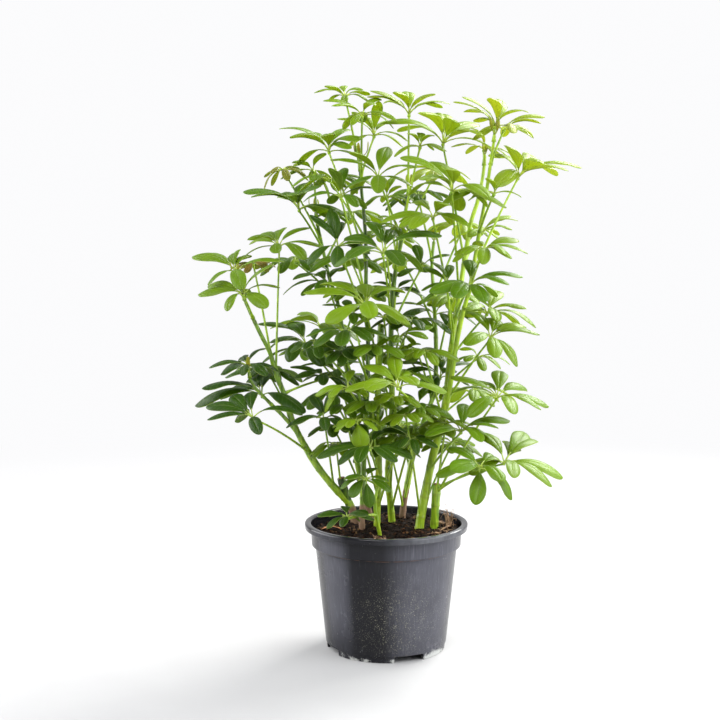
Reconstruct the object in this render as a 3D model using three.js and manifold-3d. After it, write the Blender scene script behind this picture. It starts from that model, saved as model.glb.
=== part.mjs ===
// Potted umbrella plant: several leafy canes in a round plastic nursery pot.
// Millimetres, +Z up. The origin is on the floor, on the pot's axis, and -Y is the plant's front.
import * as THREE from "three";
import { mergeVertices } from "three/addons/utils/BufferGeometryUtils.js";
import Module from "manifold-3d";

const wasm = await Module();
wasm.setup();

// ---- Driving dimensions ----------------------------------------------------------------------------------

const GAP = 0.3; // between two pieces that touch

const POT = {
  height: 148,
  wall: 1.6,
  lipRadius: 95, // outside of the rolled lip
  lipDrop: 7, // height of the lip's outer face
  lipWidth: 6.5, // from the outside of the lip to its inner edge
  collarRadius: 87.5, // straight band below the lip
  collarDrop: 27, // from the top of the lip to the foot of that band
  bodyTopRadius: 82.5,
  footRadius: 69.5,
  footBand: 6.5, // height of the narrower band at the foot
  footStep: 0.9, // how far that band is set in
  footRing: 4.2, // width of the ring that stands on the floor
  floorHeight: 8.5, // underside of the pot's floor
  round: 2.5, // rounding of the lip and of the collar's foot
  sides: 36,
};

const NOTCH = { count: 4, firstAngle: 22, width: 30, height: 8, corner: 3 }; // in the foot ring
const DRAIN = { radius: 6, ring: 46, sides: 12 }; // round holes in the pot's floor

const SOIL = { level: 137.5, relief: 2.6, mound: 3.2, spread: 2600, tilt: 0.022, rings: 6, spokes: 24 };

const CANE = { depth: 36, step: 46, sides: 7 }; // depth in the soil, length of a segment, sides
const PETIOLE = { root: 1.5, tip: 1.05, bow: 0.06, steps: 3, sides: 3 };
const HUB = { radius: 2.6, height: 1.5 }; // the small disc from which a leaf's leaflets spread
const LEAFLET = {
  stalk: 0.016, // half width at the hub, as a share of the length
  stations: [[0.44, 0.11], [0.76, 0.148]], // places along the blade and the half width there, as shares
  keel: 1.5, // thickness at the midrib
  arch: 0.15, // rise of the blade above its chord, as a share of the length
  roll: 0.3, // random turn about the midrib, radians
  parting: 0.14, // angle that neighbours keep between them at the hub, radians
};
const FAN = {
  seen: 6, // leaflets of a leaf at the front
  hidden: 5, // leaflets of a leaf at the back
  least: 5, // leaflets that a leaf keeps, where the view shows enough that would cross
  shortest: 36, // reach of the smallest leaf
  reach: 62, // reach of a leaf at the back
  stretch: 1.03, // reach as a share of the longest leaflet seen flat
  slant: 0.94, // share of the reach that a leaflet seen end-on has
  eyeRow: 230, // a leaf below this row is seen from above
  level: 8, // rows by which a tip must fall to point at the eye
};
const LIGHT = new THREE.Vector3(0, -0.28, 1); // the way the leaves turn their faces
const OUTWARD = 0.0023; // how much a leaf's face turns outward with each mm from the axis
const SEED = { first: 1000, step: 37 };

// The plant's places are pixels of a square frame of 720, seen from this eye.
const VIEW = { eye: [-30.5, -1600, 505], pitch: -6.0, focal: 1398, centre: 360 };

// ---- Places ----------------------------------------------------------------------------------------------

const degrees = THREE.MathUtils.degToRad;

// The point that a pixel shows, at the given depth behind the pot's axis.
function place([column, row], depth) {
  const across = (column - VIEW.centre) / VIEW.focal;
  const rise = (VIEW.centre - row) / VIEW.focal;
  const sine = Math.sin(degrees(VIEW.pitch));
  const cosine = Math.cos(degrees(VIEW.pitch));
  const forward = cosine - rise * sine;
  const upward = sine + rise * cosine;
  const run = (depth - VIEW.eye[1]) / forward;
  return new THREE.Vector3(VIEW.eye[0] + across * run, depth, VIEW.eye[2] + upward * run);
}

// A small seeded generator, so that every build draws the same numbers.
function draws(seed) {
  let state = seed % 2147483647;
  return () => {
    state = (state * 48271) % 2147483647;
    return state / 2147483647;
  };
}

// ---- Solids ----------------------------------------------------------------------------------------------

function solidOf(geometry) {
  const bare = geometry.clone();
  for (const name of ["normal", "uv"]) bare.deleteAttribute(name);
  const merged = mergeVertices(bare, 1e-4);
  const mesh = new wasm.Mesh({
    numProp: 3,
    vertProperties: merged.attributes.position.array,
    triVerts: new Uint32Array(merged.index.array),
  });
  return new wasm.Manifold(mesh);
}

function geometryOf(solid) {
  const mesh = solid.getMesh();
  const geometry = new THREE.BufferGeometry();
  geometry.setAttribute("position", new THREE.BufferAttribute(mesh.vertProperties, 3));
  geometry.setIndex(new THREE.BufferAttribute(mesh.triVerts, 1));
  const faceted = geometry.toNonIndexed();
  faceted.computeVertexNormals();
  return faceted;
}

// Solids joined into one body, without the specks that a join can leave.
function join(solids) {
  const bodies = wasm.Manifold.union(solids).decompose();
  return bodies.reduce((best, body) => (body.volume() > best.volume() ? body : best));
}

const SPECK = 5e-4; // cubic millimetres that two solids may share without touching

const touches = (a, b) => a.intersect(b).volume() > SPECK;

function meshOf(points, faces) {
  const geometry = new THREE.BufferGeometry();
  const numbers = points.flatMap((point) => point.toArray());
  geometry.setAttribute("position", new THREE.Float32BufferAttribute(numbers, 3));
  geometry.setIndex(faces);
  return geometry;
}

// The faces of a closed skin over rings of points, all with the same number. A last ring of one point is a
// tip, and an open skin has no cap on its last ring.
function skinFaces(rings, open = false) {
  const faces = [];
  const sides = rings[0].length;
  for (let i = 1; i < sides - 1; i++) faces.push(0, i + 1, i);
  for (let k = 0; k + 1 < rings.length; k++) {
    const [low, high] = [k * sides, (k + 1) * sides];
    for (let i = 0; i < sides; i++) {
      const j = (i + 1) % sides;
      if (rings[k + 1].length === 1) faces.push(low + i, low + j, high);
      else faces.push(low + i, low + j, high + j, low + i, high + j, high + i);
    }
  }
  const last = (rings.length - 1) * sides;
  if (rings[rings.length - 1].length > 1 && !open) {
    for (let i = 1; i < sides - 1; i++) faces.push(last, last + i, last + i + 1);
  }
  return faces;
}

const skin = (rings) => meshOf(rings.flat(), skinFaces(rings));

// Rings of points round a curve, for a round limb whose radius follows its length.
function limbRings(curve, radiusAt, steps, sides) {
  const frames = curve.computeFrenetFrames(steps, false);
  return Array.from({ length: steps + 1 }, (_, k) => {
    const middle = curve.getPointAt(k / steps);
    const radius = radiusAt(k / steps);
    return Array.from({ length: sides }, (_, i) => {
      const angle = (2 * Math.PI * i) / sides;
      return middle
        .clone()
        .addScaledVector(frames.normals[k], radius * Math.cos(angle))
        .addScaledVector(frames.binormals[k], radius * Math.sin(angle));
    });
  });
}

const limb = (curve, radiusAt, steps, sides) => solidOf(skin(limbRings(curve, radiusAt, steps, sides)));

// ---- Pot -------------------------------------------------------------------------------------------------

function potWallRadius(height) {
  const top = POT.height - POT.collarDrop;
  return THREE.MathUtils.mapLinear(height, 0, top, POT.footRadius, POT.bodyTopRadius);
}

// The turned outline of the pot, up the outside and down the inside.
function potProfile() {
  const { height, wall, lipRadius, lipDrop, lipWidth, collarRadius, collarDrop, round } = POT;
  const { footBand, footStep, footRing, floorHeight } = POT;
  const collarFoot = height - collarDrop;
  const lipFoot = height - lipDrop;
  const footOuter = potWallRadius(0) - footStep;
  const floorTop = floorHeight + wall;
  return [
    [0, floorHeight],
    [footOuter - footRing - wall / 2, floorHeight],
    [footOuter - footRing, 0],
    [footOuter, 0],
    [potWallRadius(footBand) - footStep, footBand],
    [potWallRadius(footBand + 1), footBand + 1],
    [potWallRadius(collarFoot), collarFoot],
    [collarRadius - wall / 2, collarFoot + round],
    [collarRadius, lipFoot - 1],
    [lipRadius - 1, lipFoot],
    [lipRadius, lipFoot + 1],
    [lipRadius, height - round],
    [lipRadius - round, height],
    [lipRadius - lipWidth, height],
    [collarRadius - wall, height - round],
    [collarRadius - wall, collarFoot + round],
    [potWallRadius(collarFoot) - wall, collarFoot - 1],
    [potWallRadius(floorTop) - wall, floorTop],
    [0, floorTop],
  ].map(([radius, z]) => new THREE.Vector2(radius, z));
}

function makePot() {
  const turned = new THREE.LatheGeometry(potProfile(), POT.sides).rotateX(Math.PI / 2);
  const cuts = [];
  const span = 2 * POT.footRadius * Math.sin(degrees(NOTCH.width / 2));
  for (let k = 0; k < NOTCH.count; k++) {
    const turn = degrees(NOTCH.firstAngle + (360 / NOTCH.count) * k);
    cuts.push(solidOf(notchShape(span).rotateZ(turn)));
    const drain = new THREE.CylinderGeometry(DRAIN.radius, DRAIN.radius, 4 * POT.wall, DRAIN.sides);
    drain.rotateX(Math.PI / 2).translate(0, -DRAIN.ring, POT.floorHeight + POT.wall / 2).rotateZ(turn);
    cuts.push(solidOf(drain));
  }
  return solidOf(turned).subtract(wasm.Manifold.union(cuts));
}

// The space of one drain notch on the -Y side: open below, with round upper corners.
function notchShape(span) {
  const half = span / 2;
  const { height, corner } = NOTCH;
  const outline = new THREE.Shape();
  outline.moveTo(-half, -1);
  outline.lineTo(half, -1);
  outline.lineTo(half, height - corner);
  outline.quadraticCurveTo(half, height, half - corner, height);
  outline.lineTo(corner - half, height);
  outline.quadraticCurveTo(-half, height, -half, height - corner);
  outline.closePath();
  const depth = POT.footRadius / 2;
  const geometry = new THREE.ExtrudeGeometry(outline, { depth, bevelEnabled: false, curveSegments: 2 });
  return geometry.rotateX(Math.PI / 2).translate(0, -depth, 0);
}

// ---- Soil ------------------------------------------------------------------------------------------------

// Height of the soil's lumpy top, higher at the right and round the canes.
function soilHeight(x, y) {
  const lumps =
    Math.sin(x * 0.21 + 1.3) * Math.cos(y * 0.18 - 0.4) +
    0.6 * Math.sin(x * 0.43 - y * 0.31) +
    0.5 * Math.cos(x * 0.12 + y * 0.47 + 2.0);
  const mound = SOIL.mound * Math.exp(-(x * x + y * y) / SOIL.spread);
  return SOIL.level + (SOIL.relief * lumps) / 2 + mound + SOIL.tilt * x;
}

function makeSoil(canes) {
  const foot = POT.floorHeight + POT.wall + GAP;
  const wallAt = (z) => potWallRadius(z) - POT.wall - GAP;
  const collarFoot = POT.height - POT.collarDrop;
  const topRadius = POT.collarRadius - POT.wall - 4 * GAP;
  const ringAt = (radius, height) =>
    Array.from({ length: SOIL.spokes }, (_, i) => {
      const angle = (2 * Math.PI * i) / SOIL.spokes;
      const [x, y] = [radius * Math.cos(angle), radius * Math.sin(angle)];
      return new THREE.Vector3(x, y, height(x, y));
    });
  const level = (z) => () => z;
  const inset = Math.cos(Math.PI / POT.sides); // the pot's wall is faceted, so its flats lie nearer the axis
  const rings = [
    ringAt(wallAt(foot) * inset, level(foot)),
    ringAt((wallAt(collarFoot) - 1) * inset, level(collarFoot - POT.round)),
    ringAt((topRadius - 1) * inset, level(collarFoot + 2 * POT.round)),
    ringAt(topRadius * inset, soilHeight),
  ];
  for (let k = SOIL.rings - 1; k > 0; k--) rings.push(ringAt((topRadius * k) / SOIL.rings, soilHeight));
  rings.push([new THREE.Vector3(0, 0, soilHeight(0, 0))]);
  const holes = canes.flatMap((cane) => cane.hole ?? []);
  return solidOf(skin(rings)).subtract(wasm.Manifold.union(holes));
}

// ---- Canes -----------------------------------------------------------------------------------------------

// Each cane: its centre line in the view, the depth of its foot and of its top, and its radius at both.
// A branch starts inside the cane that carries it, and a cut cane ends in a flat top.
const CANES = {
  cane_left: {
    line: [[355, 522], [349, 503], [334, 487], [320, 470], [309, 453], [300, 437], [292, 420], [284, 394],
      [276, 374], [270, 353], [261, 335], [250, 312], [243, 296], [237, 277]],
    depth: [28, -22],
    radius: [5.6, 1.5],
  },
  shoot_left: {
    on: "cane_left",
    line: [[302, 439], [284, 417], [266, 399], [252, 383], [248, 372]],
    depth: [11, -12],
    radius: [2.6, 1.5],
  },
  stump_left: {
    on: "cane_left",
    line: [[350, 507], [345, 492], [341, 478]],
    depth: [25, 19],
    radius: [4.8, 4.6],
  },
  cane_dark: {
    line: [[362, 531], [363, 480], [366, 420], [368, 340], [366, 290], [366, 250], [364, 215],
      [361, 185], [360, 158]],
    depth: [-8, 14],
    radius: [3.6, 1.7],
  },
  cane_back_left: {
    line: [[371, 521], [361, 480], [352, 420], [347, 370], [343, 335], [337, 300], [330, 280],
      [323, 250], [319, 232],
      [315, 212]],
    depth: [44, 70],
    radius: [3.8, 1.8],
  },
  cane_cut: {
    line: [[377, 527], [379, 470], [378, 430], [378, 390], [380, 350], [381, 324]],
    depth: [10, 24],
    radius: [3.9, 3.6],
  },
  cane_tall: {
    line: [[392, 524], [388, 470], [391, 435], [392, 400], [391, 350], [392, 300], [396, 268],
      [401, 240], [405, 215],
      [409, 190]],
    depth: [26, 4],
    radius: [4.4, 2.0],
  },
  cane_back: {
    line: [[402, 519], [410, 470], [415, 445], [425, 418], [434, 392], [436, 350], [434, 300],
      [432, 262], [434, 240]],
    depth: [52, 76],
    radius: [4.2, 1.8],
  },
  cane_right: {
    line: [[419, 531], [424, 500], [432, 460], [440, 430], [446, 400], [449, 370], [452, 345],
      [455, 320], [459, 300],
      [463, 270], [467, 245], [471, 222], [478, 200], [483, 175], [485, 154]],
    depth: [-6, 20],
    radius: [5.8, 1.8],
  },
  branch_right: {
    on: "cane_right",
    line: [[446, 408], [452, 372], [457, 340], [463, 312], [470, 288], [475, 258], [480, 228],
      [486, 195], [491, 160],
      [495, 134]],
    depth: [2, -46],
    radius: [3.4, 1.6],
  },
  cane_short: {
    line: [[434, 531], [435, 512], [436, 497], [437, 484]],
    depth: [-4, -8],
    radius: [5.2, 4.8],
  },
  cane_front: {
    line: [[380, 537], [377, 520], [375, 505], [378, 484]],
    depth: [-38, -48],
    radius: [2.6, 1.7],
  },
};

// ---- Leaves ----------------------------------------------------------------------------------------------

// Each leaf: the cane that carries it, the row on that cane where its stalk leaves, its hub in the view, the
// hub's depth, and the leaflet tips that the view shows. The rest of its leaflets are filled in by a rule.
const LEAVES = [
  // crown
  ["cane_dark", 172, [345, 97], 6, [[314, 93], [325, 86], [344, 87], [363, 90], [370, 95]]],
  ["cane_dark", 185, [362, 116], -22, [[323, 101], [332, 106], [380, 99], [374, 105]]],
  ["cane_dark", 178, [374, 136], 34, [[337, 119], [352, 112], [363, 117], [379, 101], [392, 121]]],
  ["cane_tall", 196, [409, 115], 2,
    [[370, 91], [367, 97], [385, 103], [394, 92], [408, 92], [435, 94], [450, 104], [442, 108]]],
  ["cane_tall", 215, [420, 147], -24, [[408, 134], [420, 133], [434, 136]]],
  ["cane_right", 262, [443, 144], -38,
    [[380, 124], [398, 132], [420, 113], [440, 115], [452, 120], [478, 124], [481, 135]]],
  ["branch_right", 142, [495, 127], -46,
    [[462, 97], [453, 102], [464, 112], [490, 98], [501, 100], [528, 112], [475, 122]]],
  ["branch_right", 165, [504, 130], -20, [[545, 117], [541, 123], [533, 138], [512, 133]]],
  ["cane_right", 166, [484, 150], 24, [[451, 147], [466, 154], [471, 128]]],
  ["branch_right", 275, [518, 178], 2,
    [[582, 168], [568, 171], [556, 176], [508, 147], [540, 162], [530, 155], [490, 157], [496, 186]]],
  ["branch_right", 232, [494, 194], -66, [[487, 178], [499, 183], [515, 178]]],
  ["cane_tall", 240, [378, 178], -30, [[330, 160], [350, 152], [388, 147], [417, 168]]],
  ["cane_dark", 262, [329, 152], 20,
    [[279, 129], [290, 137], [308, 134], [328, 135], [350, 130], [360, 140], [350, 149]]],
  ["cane_back_left", 226, [313, 171], 66, [[293, 162], [295, 166], [325, 153], [330, 203]]],
  ["cane_dark", 300, [341, 198], -30, [[330, 168], [344, 168], [330, 204], [372, 176], [383, 190]]],
  ["cane_tall", 262, [387, 198], 40, [[382, 176], [395, 176], [400, 186]]],
  ["cane_back_left", 250, [299, 210], 30,
    [[243, 192], [251, 197], [280, 195], [295, 195], [307, 183], [320, 187]]],
  ["cane_back_left", 240, [283, 170], 84, [[264, 190], [272, 186], [288, 181], [300, 171]]],
  ["cane_right", 300, [452, 192], -66, [[400, 158], [430, 162], [448, 170], [420, 180], [410, 195]]],
  // left side
  ["cane_left", 300, [236, 272], -24,
    [[192, 257], [204, 254], [237, 253], [248, 258], [285, 262], [242, 290]]],
  ["cane_left", 355, [253, 264], 14, [[247, 273], [258, 269], [266, 268]]],
  ["cane_left", 318, [243, 295], -52,
    [[198, 295], [208, 286], [228, 311], [267, 308], [274, 264], [280, 288]]],
  ["cane_left", 374, [279, 247], 22,
    [[248, 240], [251, 244], [262, 235], [284, 230], [310, 228], [325, 248], [305, 260]]],
  ["cane_left", 453, [253, 418], -58,
    [[206, 407], [207, 420], [242, 421], [232, 395], [252, 392], [303, 415]]],
  ["shoot_left", 405, [262, 396], -30,
    [[195, 406], [202, 389], [223, 399], [255, 378], [270, 370], [280, 376]]],
  ["shoot_left", 378, [248, 366], -12, [[209, 368], [221, 375], [243, 360], [266, 349]]],
  ["cane_left", 487, [324, 420], -44, [[292, 425], [312, 395], [286, 428], [343, 386]]],
  ["cane_left", 394, [325, 378], 14, [[290, 367], [295, 378], [310, 375]]],
  // inner left
  ["cane_dark", 330, [338, 247], -16,
    [[310, 215], [330, 209], [308, 265], [336, 267], [372, 243], [342, 222]]],
  ["cane_back_left", 335, [328, 285], 30, [[283, 295], [293, 280], [320, 275], [345, 270]]],
  ["cane_back_left", 400, [306, 345], 50, [[270, 343], [268, 351], [290, 362], [258, 324], [290, 323]]],
  ["cane_dark", 400, [315, 345], -34, [[340, 350], [348, 335], [315, 329]]],
  ["cane_back_left", 370, [321, 328], 96, [[291, 320], [270, 329], [300, 313]]],
  // centre
  ["cane_cut", 372, [365, 306], -66, [[303, 293], [321, 285], [366, 285], [404, 293]]],
  ["cane_tall", 320, [383, 254], -36, [[442, 236], [342, 245], [345, 238], [368, 222], [393, 232]]],
  ["cane_right", 330, [433, 218], -74,
    [[381, 222], [415, 203], [445, 205], [472, 188], [452, 225], [410, 229]]],
  ["cane_right", 345, [447, 284], -44, [[432, 262], [425, 268], [450, 265], [430, 293]]],
  ["cane_tall", 330, [420, 270], 30, [[408, 258], [415, 245], [450, 255]]],
  ["cane_back", 370, [435, 315], 60,
    [[400, 318], [390, 305], [405, 290], [436, 292], [450, 293], [452, 330]]],
  ["cane_tall", 372, [399, 338], -28, [[433, 327], [428, 339], [386, 315]]],
  ["cane_right", 435, [398, 388], -92,
    [[365, 390], [345, 391], [365, 365], [393, 356], [405, 372], [417, 385]]],
  ["cane_cut", 440, [348, 388], -62, [[315, 396], [325, 412], [352, 370]]],
  ["cane_tall", 470, [411, 440], -58, [[382, 430], [380, 421]]],
  ["cane_back", 430, [440, 378], 26, [[405, 373], [400, 362], [440, 350], [472, 364], [452, 373]]],
  ["cane_cut", 480, [370, 449], -76, [[317, 458], [397, 462], [387, 433], [358, 463], [354, 424]]],
  ["cane_right", 470, [461, 432], -40,
    [[425, 407], [465, 404], [510, 421], [498, 428], [425, 436], [481, 442]]],
  // right side
  ["cane_right", 262, [482, 233], 34, [[518, 221], [511, 216], [512, 230], [497, 235]]],
  ["branch_right", 292, [484, 250], -62, [[518, 240], [528, 254], [504, 254], [476, 247]]],
  ["cane_right", 318, [469, 287], -34,
    [[523, 277], [509, 285], [468, 260], [430, 292], [455, 298], [485, 302]]],
  ["cane_right", 360, [487, 314], 14, [[498, 291], [526, 309], [536, 328], [465, 310]]],
  ["cane_right", 404, [490, 339], -22,
    [[540, 335], [525, 327], [495, 321], [470, 312], [517, 367], [495, 358], [465, 345]]],
  ["cane_back", 400, [477, 358], 46, [[510, 365], [484, 371], [460, 350]]],
  ["cane_short", 496, [497, 398], -40,
    [[500, 371], [526, 389], [549, 407], [541, 410], [513, 414], [450, 377], [450, 394], [473, 385]]],
  ["cane_short", 492, [479, 468], -78, [[450, 470], [450, 447], [475, 505], [512, 500], [497, 461]]],
  ["cane_short", 488, [504, 463], -40,
    [[478, 432], [510, 445], [524, 432], [534, 440], [563, 478], [552, 487]]],
  // within
  ["cane_back_left", 425, [336, 373], 22, [[300, 366], [318, 359], [350, 355], [362, 363]]],
  ["cane_dark", 380, [352, 316], 34, [[330, 322], [322, 305], [345, 300], [372, 310]]],
  ["cane_tall", 350, [396, 292], 44, [[374, 283], [386, 272], [412, 280], [420, 293]]],
  ["cane_back", 395, [404, 352], 70, [[385, 346], [395, 335], [420, 344], [430, 356]]],
  ["cane_back", 450, [418, 406], 6, [[446, 413], [436, 425], [400, 393], [425, 387]]],
  ["cane_tall", 270, [398, 228], -14, [[378, 217], [372, 229], [386, 239], [416, 238]]],
  // foot
  ["cane_front", 486, [366, 479], -78, [[345, 479], [352, 498], [370, 508], [391, 492], [375, 470]]],
  ["cane_front", 515, [347, 518], -66, [[317, 516], [345, 507], [368, 515]]],
];

// Leaves at the back, which the view hides: cane, row of the stalk, hub and depth, all leaflets by the rule.
const BACK_LEAVES = [
  ["cane_back", 262, [418, 196], 74],
  ["cane_back", 300, [464, 226], 78],
  ["cane_back", 330, [404, 262], 85],
  ["cane_back", 372, [452, 300], 84],
  ["cane_back", 400, [418, 352], 72],
  ["cane_back", 440, [470, 392], 76],
  ["cane_back_left", 262, [350, 214], 75],
  ["cane_back_left", 300, [296, 262], 73],
  ["cane_back_left", 340, [362, 290], 84],
  ["cane_back_left", 380, [306, 352], 78],
  ["cane_back_left", 420, [366, 378], 88],
  ["cane_tall", 300, [384, 236], 62],
  ["cane_dark", 240, [330, 180], 72],
  ["cane_tall", 250, [436, 172], 68],
  ["cane_left", 440, [268, 372], 62],
  ["cane_back", 470, [398, 428], 52],
  ["cane_dark", 300, [352, 262], 44],
  ["cane_tall", 410, [374, 352], 56],
  ["cane_back_left", 440, [332, 396], 44],
  ["cane_tall", 450, [386, 408], 48],
  ["cane_dark", 380, [346, 332], -8],
  ["cane_tall", 370, [412, 322], 12],
  ["cane_tall", 480, [386, 446], 20],
];

const SLIDES = [0, -8, 8, -16, 16, -24, 24, -32, 32, -40, 40, -48]; // moves of a leaf along the sight line

const turnGap = (a, b) => Math.atan2(Math.sin(a - b), Math.cos(a - b));

// All leaflet tips of a leaf: those of the view where it shows them, then the widest gaps filled up.
function leafTips(hubPixel, depth, tipPixels, draw) {
  const hub = place(hubPixel, depth);
  const flat = tipPixels.map((pixel) => place(pixel, depth).distanceTo(hub));
  const longest = FAN.stretch * Math.max(...flat, 0);
  const reach = tipPixels.length ? Math.max(FAN.shortest, longest) : FAN.reach * (0.9 + 0.2 * draw());
  const turnOf = (tip) => Math.atan2(tip.y - hub.y, tip.x - hub.x);
  const tipAt = (turn, length, fall) => {
    const run = length * Math.sqrt(1 - fall * fall);
    return new THREE.Vector3(run * Math.cos(turn), run * Math.sin(turn), length * fall).add(hub);
  };
  const tips = [];
  const gapTo = (tip) => (other) => Math.abs(turnGap(turnOf(tip), turnOf(other)));
  const clearance = (tip) => Math.min(...tips.map(gapTo(tip)), Math.PI);
  tipPixels.forEach((pixel, i) => {
    const spread = Math.sqrt(Math.max(0, (reach * FAN.slant) ** 2 - flat[i] ** 2));
    const [near, far] = [place(pixel, depth - spread), place(pixel, depth + spread)];
    const fall = hubPixel[1] > FAN.eyeRow ? pixel[1] - hubPixel[1] : 0;
    if (Math.abs(fall) > FAN.level) tips.push(fall > 0 ? near : far);
    else tips.push(clearance(near) >= clearance(far) ? near : far);
  });
  if (!tips.length) tips.push(tipAt(2 * Math.PI * draw(), reach, -0.2));
  while (tips.length < (tipPixels.length ? FAN.seen : FAN.hidden)) {
    const turns = tips.map(turnOf).sort((a, b) => a - b);
    const gaps = turns.map((turn, i) => (turns[i + 1] ?? turns[0] + 2 * Math.PI) - turn);
    const widest = gaps.indexOf(Math.max(...gaps));
    const turn = turns[widest] + gaps[widest] * (0.42 + 0.16 * draw());
    const fall = -0.08 - 0.3 * draw();
    tips.push(tipAt(turn, reach * (0.72 + 0.2 * draw()), fall));
  }
  return { hub, tips };
}

// The three corners of an arched, folded blade at a share of its length: left edge, right edge and keel.
function bladeStations(hub, tip, face, roll, extra) {
  const chord = tip.clone().sub(hub);
  const length = chord.length();
  const along = chord.clone().normalize();
  const side = face.clone().cross(along).normalize().applyAxisAngle(along, roll);
  const up = along.clone().cross(side).normalize();
  return (share, halfWidth) => {
    const rise = 4 * LEAFLET.arch * length * share * (1 - share);
    const middle = hub.clone().addScaledVector(chord, share).addScaledVector(up, rise);
    const half = halfWidth * length + extra;
    const thick = LEAFLET.keel / 2 + extra / 2;
    return [
      middle.clone().addScaledVector(side, half).addScaledVector(up, thick),
      middle.clone().addScaledVector(side, -half).addScaledVector(up, thick),
      middle.clone().addScaledVector(up, -thick - extra / 2),
    ];
  };
}

// One leaflet by itself, its root sunk into the hub.
function leaflet(hub, tip, face, roll, extra) {
  const station = bladeStations(hub, tip, face, roll, extra);
  const rings = [[0, LEAFLET.stalk], ...LEAFLET.stations].map(([share, half]) => station(share, half));
  return solidOf(skin([...rings, [tip.clone()]]));
}

// A whole leaf as one shell. Neighbouring leaflets meet in a valley point at the hub, and the stalk's last
// ring closes the hub from below. A leaflet that would cross a neighbour is left out, or is joined on where
// the leaf would be too short of them.
function leafSolid(root, hub, blades, face) {
  const under = hub.clone().addScaledVector(face, -HUB.height);
  const stalk = petiole(root, under, 0);
  const stalkSolid = solidOf(skin(stalk));
  let members = blades;
  const loose = [];
  for (;;) {
    let fan = fanOf(hub, face, members, stalk[PETIOLE.steps]);
    if (!fan.wraps) fan = fanOf(hub, face, members, [under]);
    const crossings = fan.wedges.map(({ solid, twists }, i) => {
      const crossed = fan.wedges.filter((other, k) => k !== i && touches(solid, other.solid));
      const total = twists + crossed.length + (touches(solid, stalkSolid) ? 1 : 0);
      return total && total + (fan.order[i].seen ? 0 : 0.5);
    });
    const worst = crossings.indexOf(Math.max(...crossings));
    if (!crossings[worst]) {
      const short = Math.max(0, FAN.least - members.length);
      const extras = loose
        .filter(({ seen }) => seen)
        .slice(0, short)
        .map(({ tip, roll }) => leaflet(hub, tip, face, roll, 0));
      if (fan.wraps) return join([shellOf(fan, stalk), ...extras]);
      return join([shellOf(fan, [[under]]), solidOf(skin(petiole(root, hub, 0))), ...extras]);
    }
    loose.push(fan.order[worst]);
    members = fan.order.filter((_, i) => i !== worst);
  }
}

// The points of a fan of leaflets: in turn order round the hub, each with its valley points and its corner of
// the collar below.
function fanOf(hub, face, members, collar) {
  const across = new THREE.Vector3(1, 0, 0).cross(face).normalize();
  const forth = face.clone().cross(across).normalize();
  const turnOf = (point) => {
    const reach = point.clone().sub(hub);
    return Math.atan2(reach.dot(forth), reach.dot(across));
  };
  const collarTurns = collar.map(turnOf);
  const turned = members.map((member) => ({ ...member, turn: turnOf(member.tip) }));
  const order = turned.sort((a, b) => a.turn - b.turn);
  const count = order.length;
  const valleys = order.map(({ turn }, i) => {
    const next = i + 1 < count ? order[i + 1].turn : order[0].turn + 2 * Math.PI;
    const middle = (turn + next) / 2;
    const out = across.clone().multiplyScalar(Math.cos(middle)).addScaledVector(forth, Math.sin(middle));
    return hub.clone().addScaledVector(out, HUB.radius);
  });
  const centre = hub.clone().addScaledVector(face, HUB.height);
  const wedges = order.map(({ tip, roll, turn }, i) => {
    const away = collarTurns.map((other) => Math.abs(turnGap(other, turn)));
    const corner = away.indexOf(Math.min(...away));
    const station = bladeStations(hub, tip, face, roll, 0);
    const blade = LEAFLET.stations.flatMap(([share, half]) => station(share, half));
    const [after, before] = [valleys[i], valleys[(i + count - 1) % count]];
    const points = [centre, after, before, collar[corner], ...blade, tip];
    const faces = wedgeFaces([0, 1, 2, 3], 4);
    const twists = [turnGap(turnOf(after), turnOf(blade[0])), turnGap(turnOf(blade[1]), turnOf(before))];
    return {
      corner,
      blade,
      twists: twists.filter((gap) => gap < LEAFLET.parting).length,
      solid: solidOf(meshOf(points, [...faces, 0, 1, 3, 0, 3, 2])),
    };
  });
  const sides = collar.length;
  const steps = wedges.map(({ corner }, i) => (wedges[(i + 1) % count].corner - corner + sides) % sides);
  const rises = collarTurns.every((turn, k) => turnGap(collarTurns[(k + 1) % sides], turn) > 0);
  const wraps = rises && steps.reduce((sum, step) => sum + step, 0) === sides;
  return { order, centre, valleys, wedges, wraps };
}

// The outer faces of one leaflet of a fan: its centre, valley points and collar corner, then its blade.
function wedgeFaces([centre, after, before, low], start) {
  let left = start;
  const faces = [centre, before, left + 1, centre, left + 1, left, centre, left, after];
  faces.push(low, after, left, low, left, left + 2, low, left + 2, left + 1, low, left + 1, before);
  for (let k = 1; k < LEAFLET.stations.length; k++, left += 3) {
    const [right, keel] = [left + 1, left + 2];
    faces.push(left, right, right + 3, left, right + 3, left + 3, keel, left, left + 3);
    faces.push(keel, left + 3, keel + 3, right, keel, keel + 3, right, keel + 3, right + 3);
  }
  faces.push(left, left + 1, left + 3, left + 2, left, left + 3, left + 1, left + 2, left + 3);
  return faces;
}

// The fan and its stalk as one closed shell.
function shellOf({ order, centre, valleys, wedges }, stalk) {
  const count = order.length;
  const points = [...stalk.flat(), centre, ...valleys];
  const faces = stalk.length > 1 ? skinFaces(stalk, true) : [];
  const sides = stalk[0].length;
  const collarStart = (stalk.length - 1) * sides;
  const middle = stalk.length * sides;
  wedges.forEach(({ corner, blade }, i) => {
    const [after, before] = [middle + 1 + i, middle + 1 + ((i + count - 1) % count)];
    faces.push(...wedgeFaces([middle, after, before, collarStart + corner], points.length));
    points.push(...blade, order[i].tip);
    const next = wedges[(i + 1) % count].corner;
    for (let k = corner; k !== next; k = (k + 1) % sides) {
      faces.push(after, collarStart + k, collarStart + ((k + 1) % sides));
    }
  });
  return solidOf(meshOf(points, faces));
}

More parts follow.
